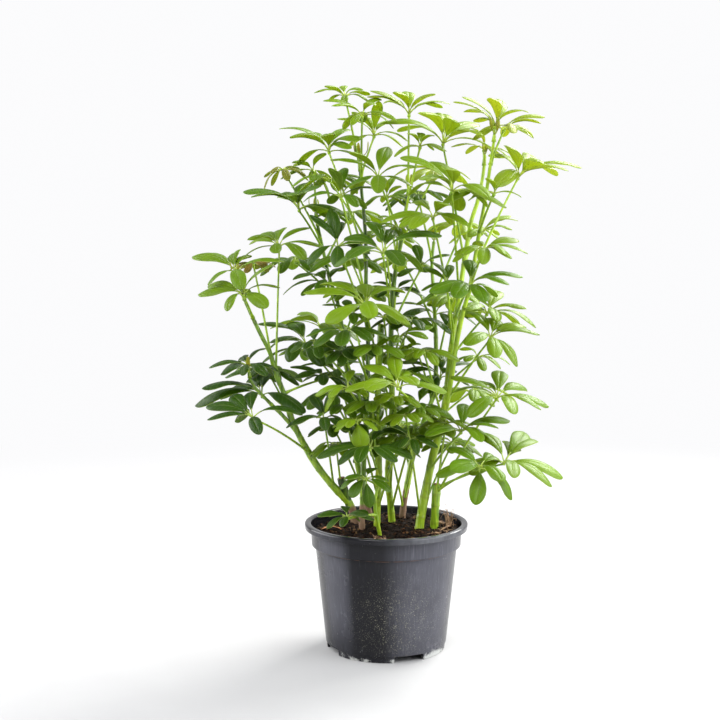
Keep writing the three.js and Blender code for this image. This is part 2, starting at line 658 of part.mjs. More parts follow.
// The stalk of a leaf, as the rings of its skin.
function petiole(root, end, extra) {
  const middle = root.clone().lerp(end, 0.5);
  middle.z += PETIOLE.bow * root.distanceTo(end);
  const curve = new THREE.QuadraticBezierCurve3(root, middle, end);
  const radiusAt = (share) => THREE.MathUtils.lerp(PETIOLE.root, PETIOLE.tip, share) + extra;
  return limbRings(curve, radiusAt, PETIOLE.steps, PETIOLE.sides);
}

// ---- On the soil -----------------------------------------------------------------------------------------

// Loose surface roots, as points on the soil.
const ROOT = { radius: 1.1, steps: 8, sides: 5 };
const ROOTS = {
  root_right: [[58, 34], [66, 20], [73, 8], [70, -8], [62, -18]],
  root_middle: [[52, -30], [60, -34], [66, -30], [68, -22]],
  root_front: [[-2, -58], [-8, -64], [-14, -60], [-12, -52]],
};
const FALLEN = { hub: [-52, -14], run: [-24, 5], lift: 6, sag: -1, roll: 0.1 };

function surfaceRoot(points) {
  const places = points.map(([x, y]) => new THREE.Vector3(x, y, soilHeight(x, y) + SOIL.relief));
  return limb(new THREE.CatmullRomCurve3(places), () => ROOT.radius, ROOT.steps, ROOT.sides);
}

function fallenLeaflet() {
  const hub = new THREE.Vector3(...FALLEN.hub, SOIL.level + FALLEN.lift);
  const tip = new THREE.Vector3(...FALLEN.run, FALLEN.sag).add(hub);
  return leaflet(hub, tip, new THREE.Vector3(0, 0, 1), FALLEN.roll, 0);
}

// Lowers a piece onto the one that carries it, and leaves the gap between them.
function settle(solid, carrier) {
  const step = GAP / 3;
  let drop = 0;
  while (!touches(solid.translate([0, 0, -drop - step]), carrier)) drop += step;
  return solid.translate([0, 0, GAP - drop]);
}

// ---- Growing the plant -----------------------------------------------------------------------------------

const ALONG = 400; // places tried along a cane

// The points of a cane's centre line; one that stands in the soil starts below it.
function canePoints({ line, depth, on }) {
  const [footRow, topRow] = [line[0][1], line[line.length - 1][1]];
  const points = line.map((pixel) => {
    const share = (footRow - pixel[1]) / (footRow - topRow);
    return place(pixel, THREE.MathUtils.lerp(depth[0], depth[1], share));
  });
  if (on) return points;
  const foot = points[0].clone();
  foot.z = SOIL.level - CANE.depth;
  return [foot, ...points];
}

function growCane(name, form) {
  const points = canePoints(form);
  const curve = new THREE.CatmullRomCurve3(points, false, "centripetal");
  const radiusAt = (share) => THREE.MathUtils.lerp(form.radius[0], form.radius[1], share);
  const steps = Math.max(PETIOLE.sides, Math.round(curve.getLength() / CANE.step));
  return {
    name,
    node: form.on ?? name,
    solid: limb(curve, radiusAt, steps, CANE.sides),
    hole: form.on ? null : limb(curve, (share) => radiusAt(share) + GAP, steps, CANE.sides),
    rowPoint: (row) => {
      const height = rowHeight(form, row);
      const along = curve.getSpacedPoints(ALONG);
      return along.find((point) => point.z >= height) ?? along[ALONG];
    },
    leaves: [],
  };
}

// The height at which a row of the view crosses a cane.
function rowHeight({ line, depth }, row) {
  const [footRow, topRow] = [line[0][1], line[line.length - 1][1]];
  const share = (footRow - row) / (footRow - topRow);
  return place([VIEW.centre, row], THREE.MathUtils.lerp(depth[0], depth[1], share)).z;
}

const canes = Object.entries(CANES).map(([name, form]) => growCane(name, form));
const caneNamed = Object.fromEntries(canes.map((cane) => [cane.name, cane]));

const solidsOf = (cane) => [cane.solid, ...cane.leaves];
const otherNodes = (cane) => canes.filter((other) => other.node !== cane.node).flatMap(solidsOf);
const ownNode = (cane) => canes.filter((other) => other.node === cane.node).flatMap(solidsOf);

// A leaf at one of its places, with the number of solids it would run into. Another node counts most there,
// and most of all where the stalk meets it, since only leaflets can be left out.
function tryLeaf(cane, root, [hubPixel, depth, tipPixels], slide, draw) {
  const { hub, tips } = leafTips(hubPixel, depth + slide, tipPixels, draw);
  const face = LIGHT.clone().add(new THREE.Vector3(hub.x, hub.y, 0).multiplyScalar(OUTWARD)).normalize();
  const blades = tips.map((tip, i) => {
    const roll = LEAFLET.roll * (2 * draw() - 1);
    return { tip, roll, seen: i < tipPixels.length, guard: leaflet(hub, tip, face, roll, GAP) };
  });
  const guard = wasm.Manifold.union(blades.map((blade) => blade.guard));
  const stalk = solidOf(skin(petiole(root, hub, GAP)));
  const hits = (shape, solids) => solids.filter((solid) => touches(shape, solid)).length;
  const others = otherNodes(cane);
  const clash = hits(guard, ownNode(cane)) + 3 * hits(guard, others) + 30 * hits(stalk, others);
  const grow = () => leafSolid(root, hub, blades.filter((blade) => !hits(blade.guard, others)), face);
  return { clash, grow };
}

[...LEAVES, ...BACK_LEAVES].forEach(([caneName, row, hubPixel, depth, tipPixels = []], index) => {
  const cane = caneNamed[caneName];
  const root = cane.rowPoint(row);
  let best = null;
  for (const slide of SLIDES) {
    const draw = draws(SEED.first + SEED.step * index);
    const leaf = tryLeaf(cane, root, [hubPixel, depth, tipPixels], slide, draw);
    if (!best || leaf.clash < best.clash) best = leaf;
    if (!best.clash) break;
  }
  cane.leaves.push(best.grow());
});

// ---- Assembly --------------------------------------------------------------------------------------------

const plant = new THREE.Group();

function add(name, solid, color, roughness) {
  const material = new THREE.MeshStandardMaterial({ color, roughness, metalness: 0 });
  const mesh = new THREE.Mesh(geometryOf(solid), material);
  mesh.name = name;
  plant.add(mesh);
}

const soil = makeSoil(canes);
add("pot", makePot(), 0x24262a, 0.45);
add("soil", soil, 0x2b1d14, 0.95);
for (const { name, node } of canes) {
  if (name !== node) continue;
  const parts = canes.filter((cane) => cane.node === name).flatMap((cane) => [cane.solid, ...cane.leaves]);
  add(name, join(parts), 0x5f9a2e, 0.5);
}
add("fallen_leaflet", settle(fallenLeaflet(), soil), 0xa35a2a, 0.7);
for (const [name, points] of Object.entries(ROOTS)) {
  add(name, settle(surfaceRoot(points), soil), 0x8a5a36, 0.8);
}

export default plant;
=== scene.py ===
"""Potted umbrella plant: leafy canes in a black nursery pot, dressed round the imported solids.

Metres, +Z up. The origin is on the floor, on the pot's axis, and -Y is the plant's front. Shapes are worked
out in millimetres and turned into metres when a mesh is made.
"""

from __future__ import annotations

import logging
import math
from collections.abc import Callable, Sequence
from dataclasses import dataclass, field
from enum import Enum
from functools import partial

import bmesh
import bpy
import numpy as np
from mathutils import Matrix, Vector, noise
from mathutils.kdtree import KDTree


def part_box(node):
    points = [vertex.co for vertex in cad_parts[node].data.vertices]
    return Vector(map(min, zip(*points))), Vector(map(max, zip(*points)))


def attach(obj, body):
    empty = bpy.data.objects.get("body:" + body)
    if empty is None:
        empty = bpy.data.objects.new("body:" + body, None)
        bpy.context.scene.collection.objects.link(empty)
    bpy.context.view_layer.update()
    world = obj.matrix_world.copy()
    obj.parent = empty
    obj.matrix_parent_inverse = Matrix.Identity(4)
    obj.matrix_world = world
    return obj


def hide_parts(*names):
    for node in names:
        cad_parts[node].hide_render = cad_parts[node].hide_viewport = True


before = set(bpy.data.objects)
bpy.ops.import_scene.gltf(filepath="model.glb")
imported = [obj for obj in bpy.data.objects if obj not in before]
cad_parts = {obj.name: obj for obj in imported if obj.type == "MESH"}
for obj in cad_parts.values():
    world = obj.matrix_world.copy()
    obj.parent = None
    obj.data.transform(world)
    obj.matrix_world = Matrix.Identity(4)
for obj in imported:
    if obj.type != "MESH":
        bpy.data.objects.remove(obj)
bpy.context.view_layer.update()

log = logging.getLogger("plant")

Array = np.ndarray
Pair = tuple[float, float]
Pixel = Pair
Triple = tuple[float, float, float]
Colour = Triple
Face = tuple[int, ...]
Socket = bpy.types.NodeSocket
Sockets = dict[str, Socket]

MM = 0.001
TURN = 2 * math.pi
BODY = "root"
NO_RADIUS = 1e-6


# ---- Small helpers -----------------------------


def vec(*numbers: float) -> Array:
    """Numbers as a float array."""
    return np.array(numbers, float)


def unit(vector: Array) -> Array:
    """The vector at length one."""
    return vector / np.linalg.norm(vector)


def smooth(low: float, high: float, value: float | Array) -> float | Array:
    """A smooth step.

    Args:
        low: Where the step starts, at 0.
        high: Where it ends, at 1.
        value: The number or numbers to place on it.

    Returns:
        The height of the step there.
    """
    share = np.clip((value - low) / (high - low), 0, 1)
    return share * share * (3 - 2 * share)


def turn_gap(first: float, second: float) -> float:
    """The signed angle from the second direction to the first."""
    return math.atan2(math.sin(first - second), math.cos(first - second))


def turned_about(vector: Array, axis: Array, angle: float) -> Array:
    """The vector turned about a unit axis."""
    turned = vector * math.cos(angle) + np.cross(axis, vector) * math.sin(angle)
    return turned + axis * np.dot(axis, vector) * (1 - math.cos(angle))


class Draws:
    """A small seeded generator of numbers from 0 to 1, the same one that grew the solids."""

    MODULUS = 2147483647
    FACTOR = 48271

    def __init__(self, seed: int) -> None:
        """Starts the row of numbers from a seed."""
        self.state = seed % self.MODULUS

    def __call__(self) -> float:
        """The next number."""
        self.state = self.state * self.FACTOR % self.MODULUS
        return self.state / self.MODULUS

    def between(self, low: float, high: float) -> float:
        """The next number, from low to high."""
        return low + (high - low) * self()

    def in_disc(self, reach: float) -> Pair:
        """The next place in a disc."""
        radius, angle = reach * math.sqrt(self()), TURN * self()
        return radius * math.cos(angle), radius * math.sin(angle)


@dataclass(frozen=True)
class View:
    """The eye that the plant's places are read from, as pixels of a square frame."""

    eye: Triple = (-30.5, -1600.0, 505.0)
    pitch: float = -6.0
    focal: float = 1398.0
    centre: float = 360.0
    sensor: float = 36.0

    def place(self, pixel: Pixel, depth: float) -> Array:
        """The point that a pixel shows.

        Args:
            pixel: Column and row.
            depth: How far behind the pot's axis the point lies.

        Returns:
            The point, in millimetres.
        """
        across = (pixel[0] - self.centre) / self.focal
        rise = (self.centre - pixel[1]) / self.focal
        sine, cosine = math.sin(math.radians(self.pitch)), math.cos(math.radians(self.pitch))
        run = (depth - self.eye[1]) / (cosine - rise * sine)
        return vec(self.eye[0] + across * run, depth, self.eye[2] + (sine + rise * cosine) * run)

    def camera(self) -> None:
        """Stands the scene's camera at the eye."""
        data = bpy.data.cameras.new("camera")
        data.sensor_width = self.sensor
        data.lens = self.sensor * self.focal / (2 * self.centre)
        data.clip_end = 50
        camera = bpy.data.objects.new("camera", data)
        camera.location = Vector(self.eye) * MM
        camera.rotation_euler = (math.radians(90 + self.pitch), 0, 0)
        bpy.context.scene.collection.objects.link(camera)
        bpy.context.scene.camera = camera


VIEW = View()


class Path:
    """A smooth line through points, read by its length."""

    SAMPLES = 24

    def __init__(self, points: Sequence[Array], smoothed: bool = True) -> None:
        """Lays the line.

        Args:
            points: The points that it passes through.
            smoothed: False if the points are close enough as they are.
        """
        self.points = self._dense([np.asarray(p, float) for p in points]) if smoothed else np.array(points)
        steps = np.linalg.norm(np.diff(self.points, axis=0), axis=1)
        self.shares = np.concatenate([[0], np.cumsum(steps)])
        self.length = float(self.shares[-1])
        self.shares /= self.length

    @classmethod
    def bow(cls, start: Array, middle: Array, end: Array) -> Path:
        """A line that leaves start towards middle and reaches end from it."""
        shares = np.linspace(0, 1, cls.SAMPLES)[:, None]
        return cls((1 - shares) ** 2 * start + 2 * shares * (1 - shares) * middle + shares**2 * end, False)

    def _dense(self, knots: list[Array]) -> Array:
        """Rounds the line between its knots, and keeps it clear of loops where they are uneven.

        Args:
            knots: The points to pass through.

        Returns:
            Points close together on the curve.
        """
        ends = [2 * knots[0] - knots[1], *knots, 2 * knots[-1] - knots[-2]]
        shares = np.linspace(0, 1, self.SAMPLES, endpoint=False)[:, None]
        rows = []
        for k in range(1, len(ends) - 2):
            a, b, c, d = ends[k - 1 : k + 3]
            first, second, third = (math.sqrt(np.linalg.norm(q - p)) for p, q in ((a, b), (b, c), (c, d)))
            leave = second * ((b - a) / first - (c - a) / (first + second) + (c - b) / second)
            reach = second * ((c - b) / second - (d - b) / (second + third) + (d - c) / third)
            cubic = 2 * b - 2 * c + leave + reach
            square = -3 * b + 3 * c - 2 * leave - reach
            rows.append(b + shares * (leave + shares * (square + shares * cubic)))
        return np.vstack([*rows, knots[-1]])

    def at(self, shares: float | Array) -> Array:
        """The points at shares of the length."""
        return np.stack([np.interp(shares, self.shares, self.points[:, k]) for k in range(3)], axis=-1)

    def frames(self, shares: Array) -> tuple[Array, Array, Array]:
        """Points and two steady cross directions.

        Args:
            shares: Where along the line.

        Returns:
            The points, and two unit vectors across the line at each.
        """
        middles = self.at(shares)
        step = 1e-3
        ways = self.at(np.clip(shares + step, 0, 1)) - self.at(np.clip(shares - step, 0, 1))
        ways /= np.linalg.norm(ways, axis=1)[:, None]
        side = unit(np.cross(ways[0], vec(0.31, 1, 0.17)))
        sides = []
        for way in ways:
            side = unit(side - way * np.dot(side, way))
            sides.append(side)
        firsts = np.array(sides)
        return middles, firsts, np.cross(ways, firsts)


# ---- Meshes ------------------------------------


class MeshMaker:
    """Collects the points and faces of one piece, with two marks on each point that its finish reads."""

    def __init__(self, name: str) -> None:
        """Starts an empty piece.

        Args:
            name: The name of the piece.
        """
        self.name = name
        self.points: list[Array] = []
        self.faces: list[Face] = []
        self.marks: list[Array] = []
        self.tones: list[Array] = []
        self.count = 0

    def add(self, points: Array, faces: Sequence[Face], mark: Array, tone: Array) -> None:
        """Adds a closed skin.

        Args:
            points: Its points, in millimetres.
            faces: Its faces, as numbers of its own points.
            mark: Where on the part each point lies, one row for all or one each.
            tone: The colour's numbers, one row for all or one each.
        """
        self.faces.extend(tuple(i + self.count for i in face) for face in faces)
        self.points.append(points)
        self.marks.append(np.broadcast_to(mark, (len(points), 3)))
        self.tones.append(np.broadcast_to(tone, (len(points), 3)))
        self.count += len(points)

    def tube(
        self,
        path: Path,
        radius: Callable[[Array], Array],
        tone: Array | Callable[[Array], Array],
        step: float = 5.0,
        sides: int = 8,
        mark: Callable[[Array], Array] | None = None,
    ) -> None:
        """Adds a round limb with closed ends.

        Args:
            path: Its centre line.
            radius: The radius at shares of its length.
            tone: The colour's numbers, for all of it or at shares of its length.
            step: Length of a segment.
            sides: Points round it.
            mark: The mark at shares of its length.
        """
        count = max(3, round(path.length / step)) + 1
        shares = np.linspace(0, 1, count)
        middles, firsts, seconds = path.frames(shares)
        angles = np.arange(sides) * TURN / sides
        wide = radius(shares)[:, None, None]
        rings = firsts[:, None] * np.cos(angles)[:, None] + seconds[:, None] * np.sin(angles)[:, None]
        points = (middles[:, None] + rings * wide).reshape(-1, 3)
        points = np.vstack([points, middles[0], middles[-1]])
        faces: list[Face] = []
        for k in range(count - 1):
            for i in range(sides):
                j = (i + 1) % sides
                low, high = k * sides, (k + 1) * sides
                faces.append((low + i, low + j, high + j, high + i))
        first, last = count * sides, count * sides + 1
        for i in range(sides):
            j = (i + 1) % sides
            faces.append((first, j, i))
            faces.append((last, (count - 1) * sides + i, (count - 1) * sides + j))
        marks = mark(shares) if mark else np.zeros((count, 3))
        tones = tone(shares) if callable(tone) else np.tile(tone, (count, 1))
        round_it = (np.vstack([np.repeat(rows, sides, axis=0), rows[0], rows[-1]]) for rows in (marks, tones))
        self.add(points, faces, *round_it)

    def build(self, material: bpy.types.Material, smoothed: bool = True) -> bpy.types.Object:
        """Makes the object.

        Args:
            material: Its finish.
            smoothed: True for soft shading.

        Returns:
            The object, in the row frame and in metres.
        """
        mesh = bpy.data.meshes.new(self.name)
        points = np.vstack(self.points) * MM
        mesh.from_pydata(points.tolist(), [], self.faces)
        for label, rows in (("mark", self.marks), ("tone", self.tones)):
            attribute = mesh.attributes.new(label, "FLOAT_VECTOR", "POINT")
            attribute.data.foreach_set("vector", np.vstack(rows).astype(np.float32).ravel())
        mesh.validate()
        mesh.shade_smooth() if smoothed else mesh.shade_flat()
        mesh.materials.append(material)
        piece = bpy.data.objects.new(self.name, mesh)
        bpy.context.scene.collection.objects.link(piece)
        return piece


def tapered(radius: float, loss: float) -> Callable[[Array], Array]:
    """The radius of a limb that loses a share of it towards its end."""
    return lambda shares: radius * (1 - loss * shares)


def ring_spots(radius: float, sides: int) -> list[Pair]:
    """X and Y of the points of a ring, which is one point where it has no radius."""
    angles = [TURN * i / sides for i in range(sides if radius > NO_RADIUS else 1)]
    return [(radius * math.cos(angle), radius * math.sin(angle)) for angle in angles]


def ring_faces(rings: Sequence[Sequence]) -> list[tuple]:
    """Joins rings of points, of which the first and the last may be a single point.

    Args:
        rings: The points of each ring.

    Returns:
        The corners of each face.
    """
    faces = []
    for low, high in zip(rings, rings[1:]):
        sides = max(len(low), len(high))
        for i in range(sides):
            j = (i + 1) % sides
            ring = (low[i % len(low)], low[j % len(low)], high[j % len(high)], high[i % len(high)])
            faces.append(tuple(dict.fromkeys(ring)))
    return faces


def settle(piece: bpy.types.Object, slot: str, *nodes: str) -> None:
    """Puts a piece into the frame.

    Args:
        piece: The object, in place.
        slot: The record's material slot; not used.
        nodes: The solids that it stands for.
    """
    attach(piece, BODY)
    if nodes:
        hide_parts(*nodes)
    log.info("%s: %d faces for %s", piece.name, len(piece.data.polygons), ", ".join(nodes) or "detail")


# ---- Finishes ----------------------------------


class Nodes:
    """A node tree with short calls for its nodes."""

    def __init__(self, tree: bpy.types.NodeTree) -> None:
        """Takes a tree to fill."""
        self.tree = tree

    def put(self, socket: Socket, value: object) -> None:
        """Fills an input.

        Args:
            socket: The input.
            value: A socket to link it to, or what it is set to.
        """
        if isinstance(value, Socket):
            self.tree.links.new(value, socket)
        elif isinstance(value, tuple) and len(value) == 3 and socket.type == "RGBA":
            socket.default_value = (*value, 1)
        else:
            socket.default_value = value

    def add(self, kind: str, /, *values: object, **settings: object) -> bpy.types.Node:
        """Adds a node.

        Args:
            kind: Its type.
            values: What its first inputs take, in their order.
            settings: Properties of the node by name.

        Returns:
            The node.
        """
        node = self.tree.nodes.new(kind)
        for name, value in settings.items():
            setattr(node, name, value)
        for socket, value in zip(node.inputs, values):
            self.put(socket, value)
        return node

    def math(self, kind: str, *values: object, clamp: bool = False) -> Socket:
        """The outcome of an operation on one to three values, kept from 0 to 1 if clamped."""
        return self.add("ShaderNodeMath", *values, operation=kind, use_clamp=clamp).outputs[0]

    def plus(self, first: object, second: object, clamp: bool = False) -> Socket:
        """The sum of two values."""
        return self.math("ADD", first, second, clamp=clamp)

    def minus(self, first: object, second: object) -> Socket:
        """The first value less the second."""
        return self.math("SUBTRACT", first, second)

    def times(self, first: object, second: object, clamp: bool = False) -> Socket:
        """The product of two values."""
        return self.math("MULTIPLY", first, second, clamp=clamp)

    def scaled(self, value: object, factor: object, offset: object) -> Socket:
        """A value times a factor, plus an offset."""
        return self.math("MULTIPLY_ADD", value, factor, offset)

    def most(self, first: object, second: object) -> Socket:
        """The higher of two values."""
        return self.math("MAXIMUM", first, second)

    def step(self, value: object, low: object, high: object, to: Pair = (0, 1)) -> Socket:
        """A value laid on a smooth step from low to high, whose two heights are given last."""
        node = self.add("ShaderNodeMapRange", value, low, high, *to, interpolation_type="SMOOTHSTEP")
        return node.outputs[0]

    def mix(self, share: object, first: object, second: object, kind: str = "MIX") -> Socket:
        """Mixes two colours.

        Args:
            share: How much of the second there is.
            first: The first colour.
            second: The second colour.
            kind: How the second is laid over the first.

        Returns:
            The colour.
        """
        node = self.add("ShaderNodeMix", data_type="RGBA", blend_type=kind)
        for index, value in ((0, share), (6, first), (7, second)):
            self.put(node.inputs[index], value)
        return node.outputs[2]

    def dimmed(self, colour: object, lightness: object) -> Socket:
        """A colour times a lightness."""
        grey = self.add("ShaderNodeCombineColor", lightness, lightness, lightness)
        return self.mix(1.0, colour, grey.outputs[0], "MULTIPLY")

    def ramp(self, value: object, *stops: tuple[float, Colour]) -> Socket:
        """Reads a colour from a row of stops.

        Args:
            value: Where to read, from 0 to 1.
            stops: Positions and their colours, from the lowest up.

        Returns:
            The colour.
        """
        node = self.add("ShaderNodeValToRGB", value)
        bar = node.color_ramp.elements
        while len(bar) < len(stops):
            bar.new(1)
        for element, (position, colour) in zip(bar, stops):
            element.position = position
            element.color = (*colour, 1)
        return node.outputs[0]

    def parts(self, vector: Socket) -> list[Socket]:
        """The three numbers of a vector."""
        return list(self.add("ShaderNodeSeparateXYZ", vector).outputs)

    def point(self, label: str) -> list[Socket]:
        """The three numbers of a mark on the mesh's points."""
        node = self.add("ShaderNodeAttribute", attribute_type="GEOMETRY", attribute_name=label)
        return self.parts(node.outputs["Vector"])

    def spot(self) -> Socket:
        """The place on the object, in metres."""
        return self.add("ShaderNodeTexCoord").outputs["Object"]

    def near(self, centre: Triple, reach: float) -> Socket:
        """A mask that falls off round a place on the object, to nothing at its reach."""
        far = self.add("ShaderNodeVectorMath", self.spot(), centre, operation="DISTANCE")
        return self.step(far.outputs["Value"], reach, reach * 0.15)

    def noise(self, scale: object, detail: float = 3, stretch: Triple | None = None) -> Socket:
        """Soft noise over the object.

        Args:
            scale: How fine it is.
            detail: How many finer layers it has.
            stretch: How much finer it is along X, Y and Z.

        Returns:
            A value from 0 to 1.
        """
        spot = self.spot()
        if stretch:
            spot = self.add("ShaderNodeVectorMath", spot, stretch, operation="MULTIPLY").outputs[0]
        node = self.add("ShaderNodeTexNoise", spot)
        self.put(node.inputs["Scale"], scale)
        self.put(node.inputs["Detail"], detail)
        return node.outputs[0]

    def group(self, tree: bpy.types.NodeTree, **values: object) -> list[Socket]:
        """Places a node group.

        Args:
            tree: The group.
            values: What its inputs take, by name.

        Returns:
            Its outputs.
        """
        node = self.add("ShaderNodeGroup", node_tree=tree)
        for name, value in values.items():
            self.put(node.inputs[name], value)
        return list(node.outputs)

    def bump(self, height: object, depth: float, strength: float = 1.0) -> Socket:
        """Turns a height into a normal.

        Args:
            height: The height, from 0 to 1.
            depth: What a height of 1 is, in metres.
            strength: How much the normal follows it.

        Returns:
            The normal.
        """
        node = self.add("ShaderNodeBump")
        for name, value in (("Strength", strength), ("Distance", depth), ("Height", height)):
            self.put(node.inputs[name], value)
        return node.outputs[0]

    def shader(self, **values: object) -> Socket:
        """Adds a surface shader.

        Args:
            values: What its inputs take, by name with _ for a space.

        Returns:
            The surface.
        """
        node = self.add("ShaderNodeBsdfPrincipled")
        for label, value in values.items():
            self.put(node.inputs[label.replace("_", " ")], value)
        return node.outputs[0]

    def blend(self, share: object, first: Socket, second: Socket) -> Socket:
        """Two surfaces mixed, with a share of the second."""
        return self.add("ShaderNodeMixShader", share, first, second).outputs[0]


def new_group(name: str, inputs: dict[str, float], outputs: Sequence[str]) -> tuple[Nodes, Sockets, Sockets]:
    """Starts a shader node group.

    Args:
        name: Its name.
        inputs: Its inputs, with what each is unless a material says otherwise.
        outputs: Its outputs.

    Returns:
        The nodes, the inner sockets of the inputs by name and those of the outputs by name.
    """
    tree = bpy.data.node_groups.new(name, "ShaderNodeTree")
    for label, value in inputs.items():
        socket = tree.interface.new_socket(label, in_out="INPUT", socket_type="NodeSocketFloat")
        socket.default_value = value
    for label in outputs:
        tree.interface.new_socket(label, in_out="OUTPUT", socket_type="NodeSocketFloat")
    nodes = Nodes(tree)
    source = nodes.add("NodeGroupInput")
    sink = nodes.add("NodeGroupOutput")
    given = {label: source.outputs[label] for label in inputs}
    return nodes, given, {label: sink.inputs[label] for label in outputs}


def mottle_group() -> bpy.types.NodeTree:
    """Uneven patches, coarse and fine, for the colour and the bump of living and dead tissue.

    Returns:
        The group, with the inputs Scale and Contrast and the outputs Patches and Grain.
    """
    nodes, given, made = new_group("mottle", {"Scale": 60.0, "Contrast": 0.5}, ("Patches", "Grain"))
    coarse = nodes.noise(given["Scale"], 4)
    fine = nodes.noise(nodes.times(given["Scale"], 9.0), 2)
    spread = nodes.times(nodes.minus(coarse, 0.5), nodes.times(given["Contrast"], 3.0))
    nodes.put(made["Patches"], nodes.plus(spread, 0.5, clamp=True))
    nodes.put(made["Grain"], fine)
    return nodes.tree


def speck_group() -> bpy.types.NodeTree:
    """Scattered specks of dust or grit.

    Returns:
        The group, with the inputs Scale, Size and Amount and the output Mask.
    """
    nodes, given, made = new_group("specks", {"Scale": 400.0, "Size": 0.3, "Amount": 0.4}, ("Mask",))
    cells = nodes.add("ShaderNodeTexVoronoi", nodes.spot(), feature="F1")
    nodes.put(cells.inputs["Scale"], given["Scale"])
    dot = nodes.step(cells.outputs["Distance"], given["Size"], nodes.times(given["Size"], 0.6))
    chance, strength, _ = nodes.parts(cells.outputs["Color"])
    chosen = nodes.math("LESS_THAN", chance, given["Amount"])
    faint = nodes.scaled(strength, 0.7, 0.3)
    nodes.put(made["Mask"], nodes.times(nodes.times(dot, chosen), faint))
    return nodes.tree


@dataclass(frozen=True)
class Finish:
    """What every finish has: its material's name, and the groups that it may use."""

    name: str
    mottle: bpy.types.NodeTree
    specks: bpy.types.NodeTree

    def material(self) -> bpy.types.Material:
        """Makes the material with its surface.

        Returns:
            The material.
        """
        material = bpy.data.materials.new(self.name)
        material.use_nodes = True
        tree = material.node_tree
        tree.nodes.clear()
        nodes = Nodes(tree)
        nodes.add("ShaderNodeOutputMaterial", self.surface(nodes))
        return material

    def surface(self, nodes: Nodes) -> Socket:
        """Builds the surface in a material's nodes and gives its socket."""
        raise NotImplementedError


@dataclass(frozen=True)
class LeafFinish(Finish):
    """A waxy leaflet: lighter veins and edge, paler below, and lit through.

    A pair of numbers is for the lower side and the upper side.
    """

    # The first green is painted shade; the greens after it run to painted light and the yellow of young
    # growth.
    deep: Colour = (0.015, 0.050, 0.002)
    mature: Colour = (0.104, 0.232, 0.005)
    fresh: Colour = (0.282, 0.465, 0.012)
    crown: Colour = (0.640, 0.640, 0.120)
    below: Colour = (0.270, 0.380, 0.070)
    vein: Colour = (0.470, 0.580, 0.130)
    russet: Colour = (0.330, 0.190, 0.045)
    lit_through: Colour = (0.920, 0.860, 0.130)
    upper_depth: float = 0.5
    through: float = 0.5
    lit_share: float = 0.6
    vein_pairs: float = 9.0
    vein_slant: float = 1.5
    vein_show: float = 0.10
    edge_show: float = 0.5
    rib_show: Pair = (0.7, 0.34)
    rib_width: float = 0.060
    rib_narrowing: float = 0.035
    patch_scale: float = 70.0
    roughness: Pair = (0.55, 0.30)
    sheen: float = 0.31
    bump_depth: float = 0.0004

    def surface(self, nodes: Nodes) -> Socket:
        """Builds the surface.

        Args:
            nodes: The material's nodes.

        Returns:
            The surface's socket.
        """
        across, along, side = nodes.point("mark")
        age, russet, chance = nodes.point("tone")
        out = nodes.math("ABSOLUTE", across)
        top = nodes.step(side, -0.4, 0.4)
        blade = nodes.step(nodes.math("ABSOLUTE", side), 0.3, 0.6)
        patches, grain = nodes.group(self.mottle, Scale=self.patch_scale, Contrast=0.5)
        # The leaf's green is read from how old it is and how lit: painted shade at the dark end, painted
        # light towards yellow.
        green = nodes.ramp(age, (0, self.deep), (0.33, self.mature), (0.66, self.fresh), (1, self.crown))
        green = nodes.dimmed(green, nodes.scaled(nodes.plus(patches, chance), 0.30, 0.70))
        colour = nodes.mix(russet, green, self.russet)
        under = nodes.mix(nodes.scaled(age, -0.45, 0.5), colour, self.below)
        upper = nodes.dimmed(colour, nodes.scaled(age, -self.upper_depth, 1.0))
        colour = nodes.mix(top, under, upper)
        rib = nodes.step(out, nodes.scaled(along, -self.rib_narrowing, self.rib_width), 0.01)
        slant = nodes.plus(nodes.times(along, self.vein_pairs), nodes.times(out, -self.vein_slant))
        line = nodes.step(nodes.math("PINGPONG", slant, 0.5), 0.10, 0.01)
        net = nodes.times(line, nodes.step(out, 1.0, 0.75))
        edge = nodes.step(out, 0.93, 0.99)
        ribbed = nodes.times(rib, nodes.step(top, 0, 1, self.rib_show))
        pale = nodes.most(ribbed, nodes.times(net, self.vein_show))
        pale = nodes.most(pale, nodes.times(edge, self.edge_show))
        colour = nodes.mix(nodes.times(pale, blade), colour, self.vein)
        colour = nodes.mix(blade, self.vein, colour)
        height = nodes.plus(nodes.times(net, -0.5), nodes.times(rib, -0.6))
        normal = nodes.bump(nodes.scaled(grain, 0.35, height), self.bump_depth, 0.6)
        gloss = nodes.scaled(patches, 0.14, nodes.step(top, 0, 1, self.roughness))
        body = nodes.shader(Base_Color=colour, Roughness=gloss, Normal=normal, Specular_IOR_Level=self.sheen)
        lit = nodes.mix(age, self.fresh, self.lit_through)
        glow = nodes.add("ShaderNodeBsdfTranslucent", nodes.mix(self.lit_share, colour, lit), normal)
        return nodes.blend(self.through, body, glow.outputs[0])


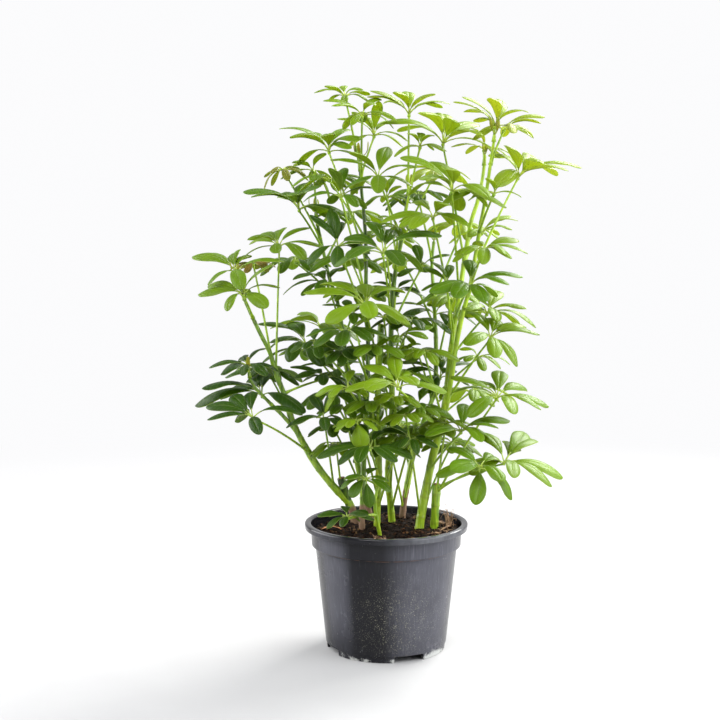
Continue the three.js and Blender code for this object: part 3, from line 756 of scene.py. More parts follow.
@dataclass(frozen=True)
class StemFinish(Finish):
    """Green canes and leaf stalks, with brown papery bark at the foot.

    The roughness is that of the green skin and of the bark.
    """

    dark: Colour = (0.022, 0.052, 0.006)
    green: Colour = (0.185, 0.340, 0.012)
    yellow: Colour = (0.450, 0.615, 0.030)
    bark: Colour = (0.125, 0.058, 0.030)
    bark_pale: Colour = (0.260, 0.165, 0.095)
    cut: Colour = (0.400, 0.160, 0.070)
    patch_scale: float = 90.0
    streak_scale: float = 60.0
    streak_stretch: Triple = (6.0, 6.0, 0.6)
    freckle_scale: float = 420.0
    roughness: Pair = (0.30, 0.8)
    sheen: float = 0.55
    bump_depth: float = 0.0006

    def surface(self, nodes: Nodes) -> Socket:
        """Builds the surface.

        Args:
            nodes: The material's nodes.

        Returns:
            The surface's socket.
        """
        brown, scar, cut = nodes.point("mark")
        tint = nodes.point("tone")[0]
        patches, grain = nodes.group(self.mottle, Scale=self.patch_scale, Contrast=0.6)
        streaks = nodes.noise(self.streak_scale, 4, self.streak_stretch)
        freckles = nodes.group(self.specks, Scale=self.freckle_scale, Size=0.30, Amount=0.14)[0]
        shade = nodes.plus(tint, nodes.scaled(streaks, 1.5, -0.75), clamp=True)
        green = nodes.ramp(shade, (0, self.dark), (0.45, self.green), (1, self.yellow))
        green = nodes.mix(nodes.times(patches, 0.35), green, self.green, "MULTIPLY")
        barked = nodes.mix(streaks, self.bark, self.bark_pale)
        ragged = nodes.scaled(streaks, 0.9, nodes.minus(brown, 0.45))
        colour = nodes.mix(nodes.step(ragged, 0.40, 0.62), green, barked)
        colour = nodes.mix(nodes.times(scar, 0.28), colour, self.bark)
        colour = nodes.mix(nodes.times(freckles, 0.5), colour, self.bark_pale)
        colour = nodes.mix(cut, colour, self.cut)
        gloss = nodes.step(brown, 0, 0.6, self.roughness)
        normal = nodes.bump(nodes.plus(streaks, nodes.times(grain, 0.4)), self.bump_depth, 0.5)
        return nodes.shader(Base_Color=colour, Roughness=gloss, Normal=normal, Specular_IOR_Level=self.sheen)


@dataclass(frozen=True)
class PotFinish(Finish):
    """Black moulded plastic: scuffs, painted sheen, dust, a dirt line under the collar, a white crust at the
    foot.

    Each of the painted sheens is a pale haze laid on one side of the pot where a bright reflection falls: its
    turn from the front, its reach, its strength and the share of it that is left at the foot. Each kind of
    dust has its scale, its size and its amount.
    """

    plastic: Colour = (0.0048, 0.0048, 0.0066)
    # Pale grey of the scuffs and of the painted sheen.
    scuff_sheen_grey: Colour = (0.118, 0.120, 0.146)
    # Grey of the worn lip, which also paints its highlight.
    wear_and_highlight: Colour = (0.230, 0.240, 0.260)
    dust: Colour = (0.42, 0.41, 0.30)
    crust: Colour = (0.50, 0.51, 0.49)
    dirt: Colour = (0.180, 0.095, 0.060)
    roughness: float = 0.21
    sheen: float = 0.24
    bump_depth: float = 0.0005
    film_scale: float = 26.0
    blotch_scale: float = 110.0
    streak_scale: float = 150.0
    streak_stretch: Triple = (4.0, 4.0, 0.18)
    lip_foot: Pair = (0.1395, 0.1415)
    lip_clean: float = 0.55
    lip_gloss: float = 0.11
    # Where the lip is worn and painted with a highlight.
    wear_highlight_centre: Triple = (0.060, -0.072, 0.146)
    wear_highlight_reach: float = 0.085
    # Bands of painted sheen, which stand in for reflections on the sides.
    painted_sheens: tuple[tuple[float, ...], ...] = (
        (-0.84, 0.37, 0.46, 0.25),
        (0.66, 0.80, 0.52, 0.75),
        (2.7, 1.1, 0.30, 0.55),
    )
    dust_centre: Triple = (0.012, -0.074, 0.050)
    dust_reach: float = 0.070
    coarse_dust: Triple = (680.0, 0.36, 0.15)
    fine_dust: Triple = (1250.0, 0.42, 0.24)
    stray_dust: Triple = (360.0, 0.15, 0.10)
    turning: float = 0.0017
    crust_centre: Triple = (0.056, -0.045, 0.004)
    crust_reach: float = 0.030
    crust_top: Pair = (0.017, 0.007)
    step_height: float = 0.1205
    foot_height: float = 0.009

    def scuff_and_sheen(self, nodes: Nodes, film: Socket, streaks: Socket) -> Socket:
        """Lays a faint scuffed haze all round the pot, and bands of painted sheen on its sides.

        Args:
            nodes: The material's nodes.
            film: Broad patches.
            streaks: Upright streaks.

        Returns:
            How hazed the plastic is, by scuffs and by painted sheen.
        """
        across, back, height = nodes.parts(nodes.spot())
        turn = nodes.math("ARCTAN2", across, nodes.times(back, -1.0))
        # A faint haze of scuffs all round, then bands of painted sheen.
        scuff_and_sheen = nodes.times(film, 0.07)
        for centre, reach, strength, foot_share in self.painted_sheens:
            facing = nodes.math("COSINE", nodes.minus(turn, centre))
            sheen_band = nodes.step(facing, math.cos(reach), 1.0, (0, strength))
            sheen_band = nodes.times(sheen_band, nodes.step(height, 0.004, 0.060, (foot_share, 1)))
            scuff_and_sheen = nodes.most(scuff_and_sheen, sheen_band)
        uneven = nodes.scaled(film, 0.7, nodes.times(streaks, 0.7))
        return nodes.times(scuff_and_sheen, nodes.plus(uneven, 0.3), clamp=True)

    def grit(self, nodes: Nodes, zone: Socket) -> Socket:
        """Scatters dust over a zone, and a little of it everywhere.

        Args:
            nodes: The material's nodes.
            zone: Where the dust lies.

        Returns:
            A mask of the dust.
        """
        coarse, fine, stray = (
            nodes.group(self.specks, Scale=scale, Size=size, Amount=amount)[0]
            for scale, size, amount in (self.coarse_dust, self.fine_dust, self.stray_dust)
        )
        return nodes.most(nodes.times(nodes.most(coarse, fine), zone), nodes.times(stray, 0.45))

    def salt(self, nodes: Nodes, height: Socket, blotch: Socket, grain: Socket) -> Socket:
        """Lays the crust, ragged at its top, round the foot.

        Args:
            nodes: The material's nodes.
            height: Height above the floor.
            blotch: Small patches.
            grain: Their grain.

        Returns:
            A mask of the crust.
        """
        foot = nodes.step(height, self.foot_height, 0.001)
        patch = nodes.near(self.crust_centre, self.crust_reach)
        strength = nodes.plus(nodes.times(foot, 0.45), nodes.times(patch, 0.34))
        ragged = nodes.plus(nodes.scaled(blotch, 1.1, -0.55), nodes.scaled(grain, 0.7, -0.35))
        salt = nodes.step(nodes.plus(strength, ragged), 0.30, 0.66)
        return nodes.times(salt, nodes.step(height, *self.crust_top))

    def surface(self, nodes: Nodes) -> Socket:
        """Builds the surface.

        Args:
            nodes: The material's nodes.

        Returns:
            The surface's socket.
        """
        height = nodes.parts(nodes.spot())[2]
        film, film_grain = nodes.group(self.mottle, Scale=self.film_scale, Contrast=0.30)
        blotch, blotch_grain = nodes.group(self.mottle, Scale=self.blotch_scale, Contrast=0.55)
        streaks = nodes.noise(self.streak_scale, 3, self.streak_stretch)
        lip = nodes.step(height, *self.lip_foot)
        # The scuffed haze and the painted sheen, thinner on the lip; the scratches are paler where the sheen
        # is.
        scuff_and_sheen = nodes.times(self.scuff_and_sheen(nodes, film, streaks), nodes.scaled(lip, -self.lip_clean, 1.0))
        colour = nodes.mix(scuff_and_sheen, self.plastic, self.scuff_sheen_grey)
        scratches = nodes.times(nodes.step(streaks, 0.60, 0.72), nodes.scaled(scuff_and_sheen, 0.5, 0.05))
        colour = nodes.mix(scratches, colour, self.scuff_sheen_grey)
        # Wear on the lip's right front, which also paints the lip's bright highlight there.
        wear_and_highlight = nodes.times(nodes.near(self.wear_highlight_centre, self.wear_highlight_reach), lip)
        wear_and_highlight = nodes.times(wear_and_highlight, nodes.scaled(blotch, 0.8, 0.2), clamp=True)
        colour = nodes.mix(nodes.times(wear_and_highlight, 0.40), colour, self.wear_and_highlight)
        patchy = nodes.step(blotch, 0.30, 0.62, (0.25, 1))
        zone = nodes.times(nodes.near(self.dust_centre, self.dust_reach), patchy)
        grit = self.grit(nodes, zone)
        dusted = nodes.most(nodes.times(zone, 0.012), nodes.times(grit, 0.85))
        colour = nodes.mix(dusted, colour, self.dust)
        away = nodes.math("ABSOLUTE", nodes.minus(height, self.step_height))
        soiled = nodes.times(nodes.step(away, 0.0011, 0.0002), nodes.step(blotch, 0.15, 0.75))
        colour = nodes.mix(nodes.times(soiled, 0.5), colour, self.dirt)
        salt = self.salt(nodes, height, blotch, blotch_grain)
        colour = nodes.mix(nodes.times(salt, 0.72), colour, self.crust)
        matt = nodes.minus(nodes.scaled(film, 0.10, self.roughness), nodes.times(lip, self.lip_gloss))
        matt = nodes.plus(matt, nodes.times(nodes.most(grit, salt), 0.4), clamp=True)
        relief = nodes.plus(nodes.scaled(film_grain, 0.2, salt), nodes.times(grit, 0.8))
        rings = nodes.math("SINE", nodes.times(height, TURN / self.turning))
        normal = nodes.bump(nodes.scaled(rings, 0.035, relief), self.bump_depth, 0.5)
        return nodes.shader(Base_Color=colour, Roughness=matt, Normal=normal, Specular_IOR_Level=self.sheen)


@dataclass(frozen=True)
class SoilFinish(Finish):
    """Dark potting mix, whose crumbs, bark and fibres differ in colour."""

    wet: Colour = (0.0045, 0.0028, 0.0020)
    peat: Colour = (0.018, 0.009, 0.005)
    chip: Colour = (0.085, 0.034, 0.014)
    straw: Colour = (0.320, 0.190, 0.085)
    crumb_scale: float = 240.0
    grit_scale: float = 700.0
    roughness: float = 0.82
    sheen: float = 0.1
    bump_depth: float = 0.0016

    def surface(self, nodes: Nodes) -> Socket:
        """Builds the surface.

        Args:
            nodes: The material's nodes.

        Returns:
            The surface's socket.
        """
        kind, chance, _ = nodes.point("tone")
        crumbs, grain = nodes.group(self.mottle, Scale=self.crumb_scale, Contrast=1.0)
        grit = nodes.group(self.specks, Scale=self.grit_scale, Size=0.3, Amount=0.1)[0]
        colour = nodes.ramp(kind, (0, self.wet), (0.35, self.peat), (0.7, self.chip), (1, self.straw))
        colour = nodes.mix(nodes.times(crumbs, 0.6), colour, self.wet)
        colour = nodes.mix(nodes.times(grit, 0.5), colour, self.straw)
        matt = nodes.scaled(chance, 0.1, self.roughness)
        normal = nodes.bump(nodes.plus(crumbs, nodes.times(grain, 0.6)), self.bump_depth, 0.9)
        return nodes.shader(Base_Color=colour, Roughness=matt, Normal=normal, Specular_IOR_Level=self.sheen)


@dataclass(frozen=True)
class DryFinish(Finish):
    """Dead leaf or root: brown, dull and wrinkled."""

    dark: Colour = (0.200, 0.065, 0.020)
    light: Colour = (0.560, 0.250, 0.090)
    wrinkle_scale: float = 160.0
    roughness: float = 0.6
    bump_depth: float = 0.0006

    def surface(self, nodes: Nodes) -> Socket:
        """Builds the surface.

        Args:
            nodes: The material's nodes.

        Returns:
            The surface's socket.
        """
        patches, grain = nodes.group(self.mottle, Scale=self.wrinkle_scale, Contrast=1.0)
        colour = nodes.mix(patches, self.dark, self.light)
        matt = nodes.scaled(grain, 0.2, self.roughness)
        normal = nodes.bump(nodes.plus(patches, nodes.times(grain, 0.5)), self.bump_depth, 0.8)
        return nodes.shader(Base_Color=colour, Roughness=matt, Normal=normal)


@dataclass(frozen=True)
class FloorFinish(Finish):
    """A plain pale floor with faint patches, which glows softly into the surround far from the plant."""

    near: Colour = (0.34, 0.34, 0.345)
    patch: Colour = (0.28, 0.28, 0.285)
    far: Colour = (0.97, 0.97, 0.98)
    fade: Pair = (0.45, 1.6)
    dimmed: float = 0.55
    cloud_scale: float = 5.0
    roughness: float = 0.75

    def surface(self, nodes: Nodes) -> Socket:
        """Builds the surface.

        Args:
            nodes: The material's nodes.

        Returns:
            The surface's socket.
        """
        clouds = nodes.group(self.mottle, Scale=self.cloud_scale, Contrast=0.6)[0]
        colour = nodes.mix(nodes.times(clouds, 0.6), self.near, self.patch)
        body = nodes.shader(Base_Color=colour, Roughness=self.roughness)
        seen = nodes.add("ShaderNodeLightPath").outputs["Is Camera Ray"]
        glow = nodes.add("ShaderNodeEmission", self.far, nodes.step(seen, 0, 1, (self.dimmed, 1)))
        away = nodes.add("ShaderNodeVectorMath", nodes.spot(), operation="LENGTH")
        return nodes.blend(nodes.step(away.outputs["Value"], *self.fade), body, glow.outputs[0])


class Finishes:
    """All finishes of the plant, each made once."""

    ROOT_DARK = (0.09, 0.04, 0.02)
    ROOT_LIGHT = (0.42, 0.25, 0.13)

    def __init__(self) -> None:
        """Makes the shared groups, and the materials that use them."""
        shared = (mottle_group(), speck_group())
        self.leaf = LeafFinish("leaf", *shared).material()
        self.stem = StemFinish("stem", *shared).material()
        self.pot = PotFinish("pot_plastic", *shared).material()
        self.soil = SoilFinish("potting_mix", *shared).material()
        self.dry = DryFinish("dead_leaf", *shared).material()
        self.root = DryFinish("dry_root", *shared, self.ROOT_DARK, self.ROOT_LIGHT).material()
        self.floor = FloorFinish("floor", *shared).material()


# ---- Pot ---------------------------------------


@dataclass(frozen=True)
class PotSizes:
    """Sizes of the pot, in millimetres and degrees."""

    height: float = 148.0
    wall: float = 1.6
    lip_radius: float = 95.0
    lip_drop: float = 7.0
    lip_width: float = 6.5
    collar_radius: float = 87.5
    collar_drop: float = 27.0
    body_top_radius: float = 82.5
    foot_radius: float = 69.5
    foot_band: float = 6.5
    foot_step: float = 0.9
    foot_ring: float = 4.2
    floor_height: float = 8.5
    round: float = 2.5
    sides: int = 192
    notch_count: int = 4
    notch_first: float = 22.0
    notch_width: float = 30.0
    notch_height: float = 8.0
    notch_corner: float = 3.0
    drain_radius: float = 6.0
    drain_ring: float = 46.0
    sharp: float = 32.0

    @property
    def collar_foot(self) -> float:
        """Height of the collar's foot."""
        return self.height - self.collar_drop

    def wall_radius(self, height: float) -> float:
        """Outer radius of the body at a height."""
        return self.foot_radius + (self.body_top_radius - self.foot_radius) * height / self.collar_foot


@dataclass
class Pot:
    """A turned plastic pot with a rolled lip, a collar and a notched foot."""

    finishes: Finishes
    sizes: PotSizes = field(default_factory=PotSizes)

    def outline(self) -> list[Pair]:
        """Lays the turned outline, up the outside and down the inside, with round corners.

        Returns:
            Radius and height of each point.
        """
        s = self.sizes
        lip_foot = s.height - s.lip_drop
        foot_outer = s.wall_radius(0) - s.foot_step
        floor_top = s.floor_height + s.wall
        corners = [
            (foot_outer - s.foot_ring - s.wall / 2, s.floor_height, 0.8),
            (foot_outer - s.foot_ring, 0, 0.5),
            (foot_outer, 0, 0.6),
            (s.wall_radius(s.foot_band) - s.foot_step, s.foot_band, 0.3),
            (s.wall_radius(s.foot_band + 1), s.foot_band + 1, 0.4),
            (s.wall_radius(s.collar_foot), s.collar_foot, 0.7),
            (s.collar_radius - s.wall / 2, s.collar_foot + 0.6, 1.4),
            (s.collar_radius, lip_foot - 0.6, 0.7),
            (s.lip_radius - 0.6, lip_foot, 0.8),
            (s.lip_radius, s.height, s.round),
            (s.lip_radius - s.lip_width - 1.2, s.height, s.round),
            (s.collar_radius - s.wall, s.collar_foot + s.round, 0.8),
            (s.wall_radius(s.collar_foot) - s.wall, s.collar_foot - 1, 0.8),
            (s.wall_radius(floor_top) - s.wall, floor_top, 1.2),
        ]
        points: list[Pair] = [(0.0, s.floor_height)]
        for k, (radius, height, bend) in enumerate(corners):
            here = vec(radius, height)
            before = vec(*corners[k - 1][:2]) if k else vec(0, s.floor_height)
            after = vec(*corners[k + 1][:2]) if k + 1 < len(corners) else vec(0, floor_top)
            reach = min(bend, *(np.linalg.norm(other - here) * 0.45 for other in (before, after)))
            start, end = here + unit(before - here) * reach, here + unit(after - here) * reach
            for share in (0, 0.25, 0.5, 0.75, 1):
                bent = (1 - share) ** 2 * start + 2 * share * (1 - share) * here + share**2 * end
                points.append((float(bent[0]), float(bent[1])))
        return [*points, (0.0, floor_top)]

    def turned(self, outline: Sequence[Pair]) -> bmesh.types.BMesh:
        """Turns the outline round the axis.

        Args:
            outline: Radius and height of each point.

        Returns:
            A closed mesh, in metres.
        """
        mesh = bmesh.new()
        rings = []
        for radius, height in outline:
            spots = ring_spots(radius, self.sizes.sides)
            rings.append([mesh.verts.new((x * MM, y * MM, height * MM)) for x, y in spots])
        for face in ring_faces(rings):
            mesh.faces.new(face)
        bmesh.ops.recalc_face_normals(mesh, faces=mesh.faces)
        return mesh

    def notch(self, turn: float) -> bmesh.types.BMesh:
        """The space of one foot notch.

        Args:
            turn: Its angle from the front.

        Returns:
            A closed mesh, in metres.
        """
        s = self.sizes
        half = s.foot_radius * math.sin(math.radians(s.notch_width / 2))
        outline = [(-half, -2.0), (half, -2.0)]
        for side in (1, -1):
            for share in (0, 0.25, 0.5, 0.75, 1) if side > 0 else (1, 0.75, 0.5, 0.25, 0):
                angle = share * TURN / 4
                out = half - s.notch_corner * (1 - math.cos(angle))
                up = s.notch_height - s.notch_corner * (1 - math.sin(angle))
                outline.append((side * out, up))
        mesh = bmesh.new()
        spin = Matrix.Rotation(turn, 3, "Z")
        near, far = (
            [mesh.verts.new(spin @ Vector((x, -depth, z)) * MM) for x, z in outline]
            for depth in (s.foot_radius * 1.1, s.foot_radius * 0.5)
        )
        count = len(outline)
        mesh.faces.new(near)
        mesh.faces.new(far[::-1])
        for i in range(count):
            j = (i + 1) % count
            mesh.faces.new((near[j], near[i], far[i], far[j]))
        bmesh.ops.recalc_face_normals(mesh, faces=mesh.faces)
        return mesh

    def drain(self, turn: float) -> bmesh.types.BMesh:
        """The space of one drain hole.

        Args:
            turn: Its angle from the front.

        Returns:
            A closed mesh, in metres.
        """
        s = self.sizes
        mesh = bmesh.new()
        height = s.floor_height + s.wall / 2
        spot = Vector((s.drain_ring * math.sin(turn), -s.drain_ring * math.cos(turn), height))
        radius = s.drain_radius * MM
        shape = {"segments": 32, "radius1": radius, "radius2": radius, "depth": 4 * s.wall * MM}
        bmesh.ops.create_cone(mesh, cap_ends=True, matrix=Matrix.Translation(spot * MM), **shape)
        return mesh

    def build(self) -> None:
        """Builds the pot with its notches and drain holes cut."""
        pot = object_of(self.turned(self.outline()), "pot_shell")
        for k in range(self.sizes.notch_count):
            turn = math.radians(self.sizes.notch_first + 360 / self.sizes.notch_count * k)
            for label, mesh in (("notch", self.notch(turn)), ("drain", self.drain(turn))):
                cut(pot, object_of(mesh, label))
        pot.data.shade_smooth()
        pot.data.set_sharp_from_angle(angle=math.radians(self.sizes.sharp))
        pot.data.materials.clear()
        pot.data.materials.append(self.finishes.pot)
        settle(pot, "pot_plastic", "pot")


def object_of(mesh: bmesh.types.BMesh, name: str) -> bpy.types.Object:
    """Makes an object of a mesh and frees it.

    Args:
        mesh: The mesh, in metres.
        name: The object's name.

    Returns:
        The object, linked to the scene.
    """
    data = bpy.data.meshes.new(name)
    mesh.to_mesh(data)
    mesh.free()
    made = bpy.data.objects.new(name, data)
    bpy.context.scene.collection.objects.link(made)
    return made


def cut(body: bpy.types.Object, tool: bpy.types.Object) -> None:
    """Cuts a tool's shape out of a body and removes the tool.

    Args:
        body: What is cut.
        tool: The shape to cut out of it.
    """
    modifier = body.modifiers.new("cut", "BOOLEAN")
    modifier.object = tool
    modifier.operation = "DIFFERENCE"
    modifier.solver = "EXACT"
    made = bpy.data.meshes.new_from_object(body.evaluated_get(bpy.context.evaluated_depsgraph_get()))
    body.modifiers.clear()
    body.data = made
    bpy.data.objects.remove(tool, do_unlink=True)


# ---- Soil --------------------------------------


@dataclass
class Soil:
    """The potting mix: a lumpy top with chips and fibres, down to the pot's floor."""

    finishes: Finishes
    pot: PotSizes
    level: float = 137.5
    relief: float = 2.6
    mound: float = 3.2
    spread: float = 2600.0
    tilt: float = 0.022
    top_radius: float = 84.9
    gap: float = 0.3
    edge: float = 82.0
    fade: Pair = (84.0, 78.0)
    rings: int = 60
    spokes: int = 180
    chips: int = 620
    chip_reach: float = 81.5
    shard_share: float = 0.3
    shard: tuple[Pair, ...] = ((2.2, 5.2), (0.9, 1.8), (0.5, 1.1))
    crumb: tuple[Pair, ...] = ((0.8, 2.2), (0.8, 1.8), (0.6, 1.3))
    fibres: int = 150
    fibre_reach: float = 76.0

    def height(self, x: float, y: float) -> float:
        """Reads the soil's broad lumps, higher at the right and round the canes.

        Args:
            x: Place to the right.
            y: Place to the back.

        Returns:
            Height above the floor.
        """
        lumps = math.sin(x * 0.21 + 1.3) * math.cos(y * 0.18 - 0.4)
        lumps += 0.6 * math.sin(x * 0.43 - y * 0.31) + 0.5 * math.cos(x * 0.12 + y * 0.47 + 2.0)
        mound = self.mound * math.exp(-(x * x + y * y) / self.spread)
        return self.level + self.relief * lumps / 2 + mound + self.tilt * x

    def top(self, x: float, y: float) -> float:
        """Reads the soil with its crumbs, which fade out at the pot's wall.

        Args:
            x: Place to the right.
            y: Place to the back.

        Returns:
            Height above the floor.
        """
        crumbs = noise.fractal(Vector((x * 0.16, y * 0.16, 3.1)), 0.7, 2.1, 5)
        clods = max(0.0, noise.noise(Vector((x * 0.09, y * 0.09, 9.0))))
        inside = float(smooth(*self.fade, math.hypot(x, y)))
        return self.height(x, y) + (1.2 + 1.1 * crumbs + 2.0 * clods) * inside

    def body(self) -> bpy.types.Object:
        """Builds the soil's body.

        Returns:
            The object, not yet settled.
        """
        foot = self.pot.floor_height + self.pot.wall + self.gap
        neck = self.pot.collar_foot
        inner = self.pot.wall + self.gap
        sides = [
            (0.0, foot),
            (self.pot.wall_radius(foot) - inner - 0.6, foot),
            (self.pot.wall_radius(neck) - inner - 1.0, neck - self.pot.round),
            (self.top_radius - 1.0, neck + 2 * self.pot.round),
            (self.top_radius, self.level - 4),
        ]
        radii = [self.top_radius * (1 - k / self.rings) ** 0.9 for k in range(self.rings)]
        maker = MeshMaker("soil_top")
        points: list[Array] = []
        tones: list[Array] = []
        loops: list[list[int]] = []
        for radius, level in [*sides, *((radius, None) for radius in radii), (0.0, None)]:
            spots = ring_spots(radius, self.spokes)
            loops.append([len(points) + i for i in range(len(spots))])
            for x, y in spots:
                points.append(vec(x, y, self.top(x, y) if level is None else level))
                broad = noise.noise(Vector((x, y, 0)) * 0.12) * 0.25
                fine = noise.noise(Vector((x, y, 5)) * 0.5) * 0.22
                tones.append(vec(np.clip(0.26 + (broad + fine), 0, 1), 0.5, 0))
        maker.add(np.array(points), ring_faces(loops), vec(0, 0, 0), np.array(tones))
        return maker.build(self.finishes.soil)

    def crumble(self, maker: MeshMaker, draw: Draws) -> None:
        """Strews chips of bark and crumbs over the top.

        Args:
            maker: Where they go.
            draw: The numbers to draw from.
        """
        cube = np.array([(x, y, z) for x in (-1, 1) for y in (-1, 1) for z in (-1, 1)], float)
        faces = [(0, 1, 3, 2), (4, 6, 7, 5), (0, 4, 5, 1), (2, 3, 7, 6), (0, 2, 6, 4), (1, 5, 7, 3)]
        for _ in range(self.chips):
            x, y = draw.in_disc(self.chip_reach)
            spans = self.shard if draw() < self.shard_share else self.crumb
            size = vec(*(draw.between(*span) for span in spans))
            jolt = np.array([[draw.between(0.65, 1.0) for _ in range(3)] for _ in range(8)])
            spin = Matrix.Rotation(TURN * draw(), 3, "Z") @ Matrix.Rotation(draw.between(-0.5, 0.5), 3, "Y")
            points = (cube * jolt * size) @ np.array(spin).T
            kind = 0.12 + 0.75 * draw() ** 2.2
            spot = vec(x, y, self.top(x, y) + size[2] * 0.35)
            maker.add(points + spot, faces, vec(0, 0, 0), vec(kind, draw(), 0))

    def strands(self, maker: MeshMaker, draw: Draws) -> None:
        """Lays pale fibres and thin roots on the top.

        Args:
            maker: Where they go.
            draw: The numbers to draw from.
        """
        for _ in range(self.fibres):
            spot = vec(*draw.in_disc(self.fibre_reach))
            way = TURN * draw()
            knots = []
            step = draw.between(2.0, 5.0)
            for _ in range(4):
                if math.hypot(*spot) > self.edge:
                    break
                lift = draw.between(0.1, 1.6)
                knots.append(vec(*spot, self.top(*spot) + lift))
                spot = spot + step * vec(math.cos(way), math.sin(way))
                way += draw.between(-0.9, 0.9)
            if len(knots) < 3:
                continue
            thick = draw.between(0.16, 0.42)
            tone = vec(draw.between(0.45, 1.0), draw(), 0)
            maker.tube(Path(knots), tapered(thick, 0.6), tone, 2.0, 4)

    def build(self) -> None:
        """Builds the soil's body, chips and fibres."""
        settle(self.body(), "soil", "soil")
        draw = Draws(4711)
        chips = MeshMaker("soil_chips")
        self.crumble(chips, draw)
        settle(chips.build(self.finishes.soil, smoothed=False), "soil", "soil")
        fibres = MeshMaker("soil_fibres")
        self.strands(fibres, draw)
        settle(fibres.build(self.finishes.soil), "soil", "soil")


# ---- Leaves ------------------------------------


class AgeAndLight(Enum):
    """How old a leaf is and how lit, from which its green follows: painted shade, then painted light, then
    yellow.
    """

    DEEP = 0.06
    SHADE = 0.19
    MATURE = 0.30
    YOUNG = 0.46
    BRIGHT = 0.60


@dataclass(frozen=True)
class LeafPlan:
    """One leaf of the plant's plan.

    Attributes:
        cane: The cane that carries it.
        row: The row of the view on that cane where its stalk leaves.
        hub: The pixel of its hub, from which the leaflets spread.
        depth: The hub's depth behind the pot's axis.
        tips: The pixels of the leaflet tips that the view shows.
        age: How old it is and the painted light on it, or None where the place on the plant decides.
        russet: How reddish it is.
        width: How wide its leaflets are against the usual ones.
    """

    cane: str
    row: float
    hub: Pixel
    depth: float
    tips: tuple[Pixel, ...] = ()
    age: AgeAndLight | None = None
    russet: float = 0.0
    width: float = 1.0


@dataclass(frozen=True)
class LeafSizes:
    """Sizes of leaves and leaflets, in millimetres or as shares of a leaflet's length."""

    hub_radius: float = 2.1
    stalk_root: float = 1.5
    stalk_tip: float = 1.1
    stalk_bow: float = 0.06
    stalk_swelling: float = 1.3
    stalk_flare: float = 0.6
    blade_start: float = 0.135
    half_width: float = 0.152
    width_span: Pair = (0.93, 1.1)
    arch: float = 0.175
    arch_span: Pair = (0.8, 1.15)
    sway: float = 0.03
    twist: float = 0.35
    fold: Pair = (0.18, 0.42)
    curl: Pair = (0.38, 0.62)
    wave: Pair = (0.02, 0.08)
    thickness: float = 0.5
    margin: float = 0.3
    midrib: float = 0.55
    shoulder: float = 1.0
    bluntness: float = 0.56
    rows: int = 14
    columns: tuple[float, ...] = (-1.0, -0.9, -0.58, -0.25, -0.07, 0.0, 0.07, 0.25, 0.58, 0.9, 1.0)
    seen: int = 6
    hidden: int = 5
    grown: tuple[int, int] = (7, 10)
    least_reach: float = 36.0
    hidden_reach: float = 62.0
    fine_reach: float = 47.0
    stretch: float = 1.03
    slant: float = 0.94
    eye_row: float = 230.0
    level: float = 8.0
    light: Triple = (0.0, -0.13, 1.0)
    outward: float = 0.0023
    roll: float = 0.17
    front_fall: float = 0.45
    met: float = 0.25


LEAF = LeafSizes()
SLIDES = (0, -8, 8, -16, 16, -24, 24, -32, 32, -40, 40, -48)


@dataclass
class Fan:
    """A leaf's hub, the tips of its leaflets, the turn of each about its midrib, and the way it faces."""

    hub: Array
    tips: list[Array]
    rolls: list[float]
    face: Array

    def turn_of(self, tip: Array) -> float:
        """The bearing of a tip from the hub."""
        return math.atan2(tip[1] - self.hub[1], tip[0] - self.hub[0])

    def tip_at(self, turn: float, length: float, fall: float) -> Array:
        """The tip at a bearing, whose height changes by fall times the length."""
        run = length * math.sqrt(1 - fall * fall)
        return self.hub + vec(run * math.cos(turn), run * math.sin(turn), length * fall)

    def clearance(self, tip: Array) -> float:
        """The angle from a tip to its nearest neighbour."""
        gaps = [abs(turn_gap(self.turn_of(tip), self.turn_of(other))) for other in self.tips]
        return min([*gaps, math.pi])

    def fill(self, count: int, reach: float, draw: Draws) -> None:
        """Adds leaflets in the widest gaps until there are enough.

        Args:
            count: How many leaflets the leaf has then.
            reach: The leaf's reach.
            draw: The numbers to draw from.
        """
        while len(self.tips) < count:
            turns = sorted(self.turn_of(tip) for tip in self.tips)
            gaps = [after - turn for turn, after in zip(turns, [*turns[1:], turns[0] + TURN])]
            widest = gaps.index(max(gaps))
            turn = turns[widest] + gaps[widest] * (0.42 + 0.16 * draw())
            fall = -0.08 - 0.3 * draw()
            self.tips.append(self.tip_at(turn, reach * (0.72 + 0.2 * draw()), fall))


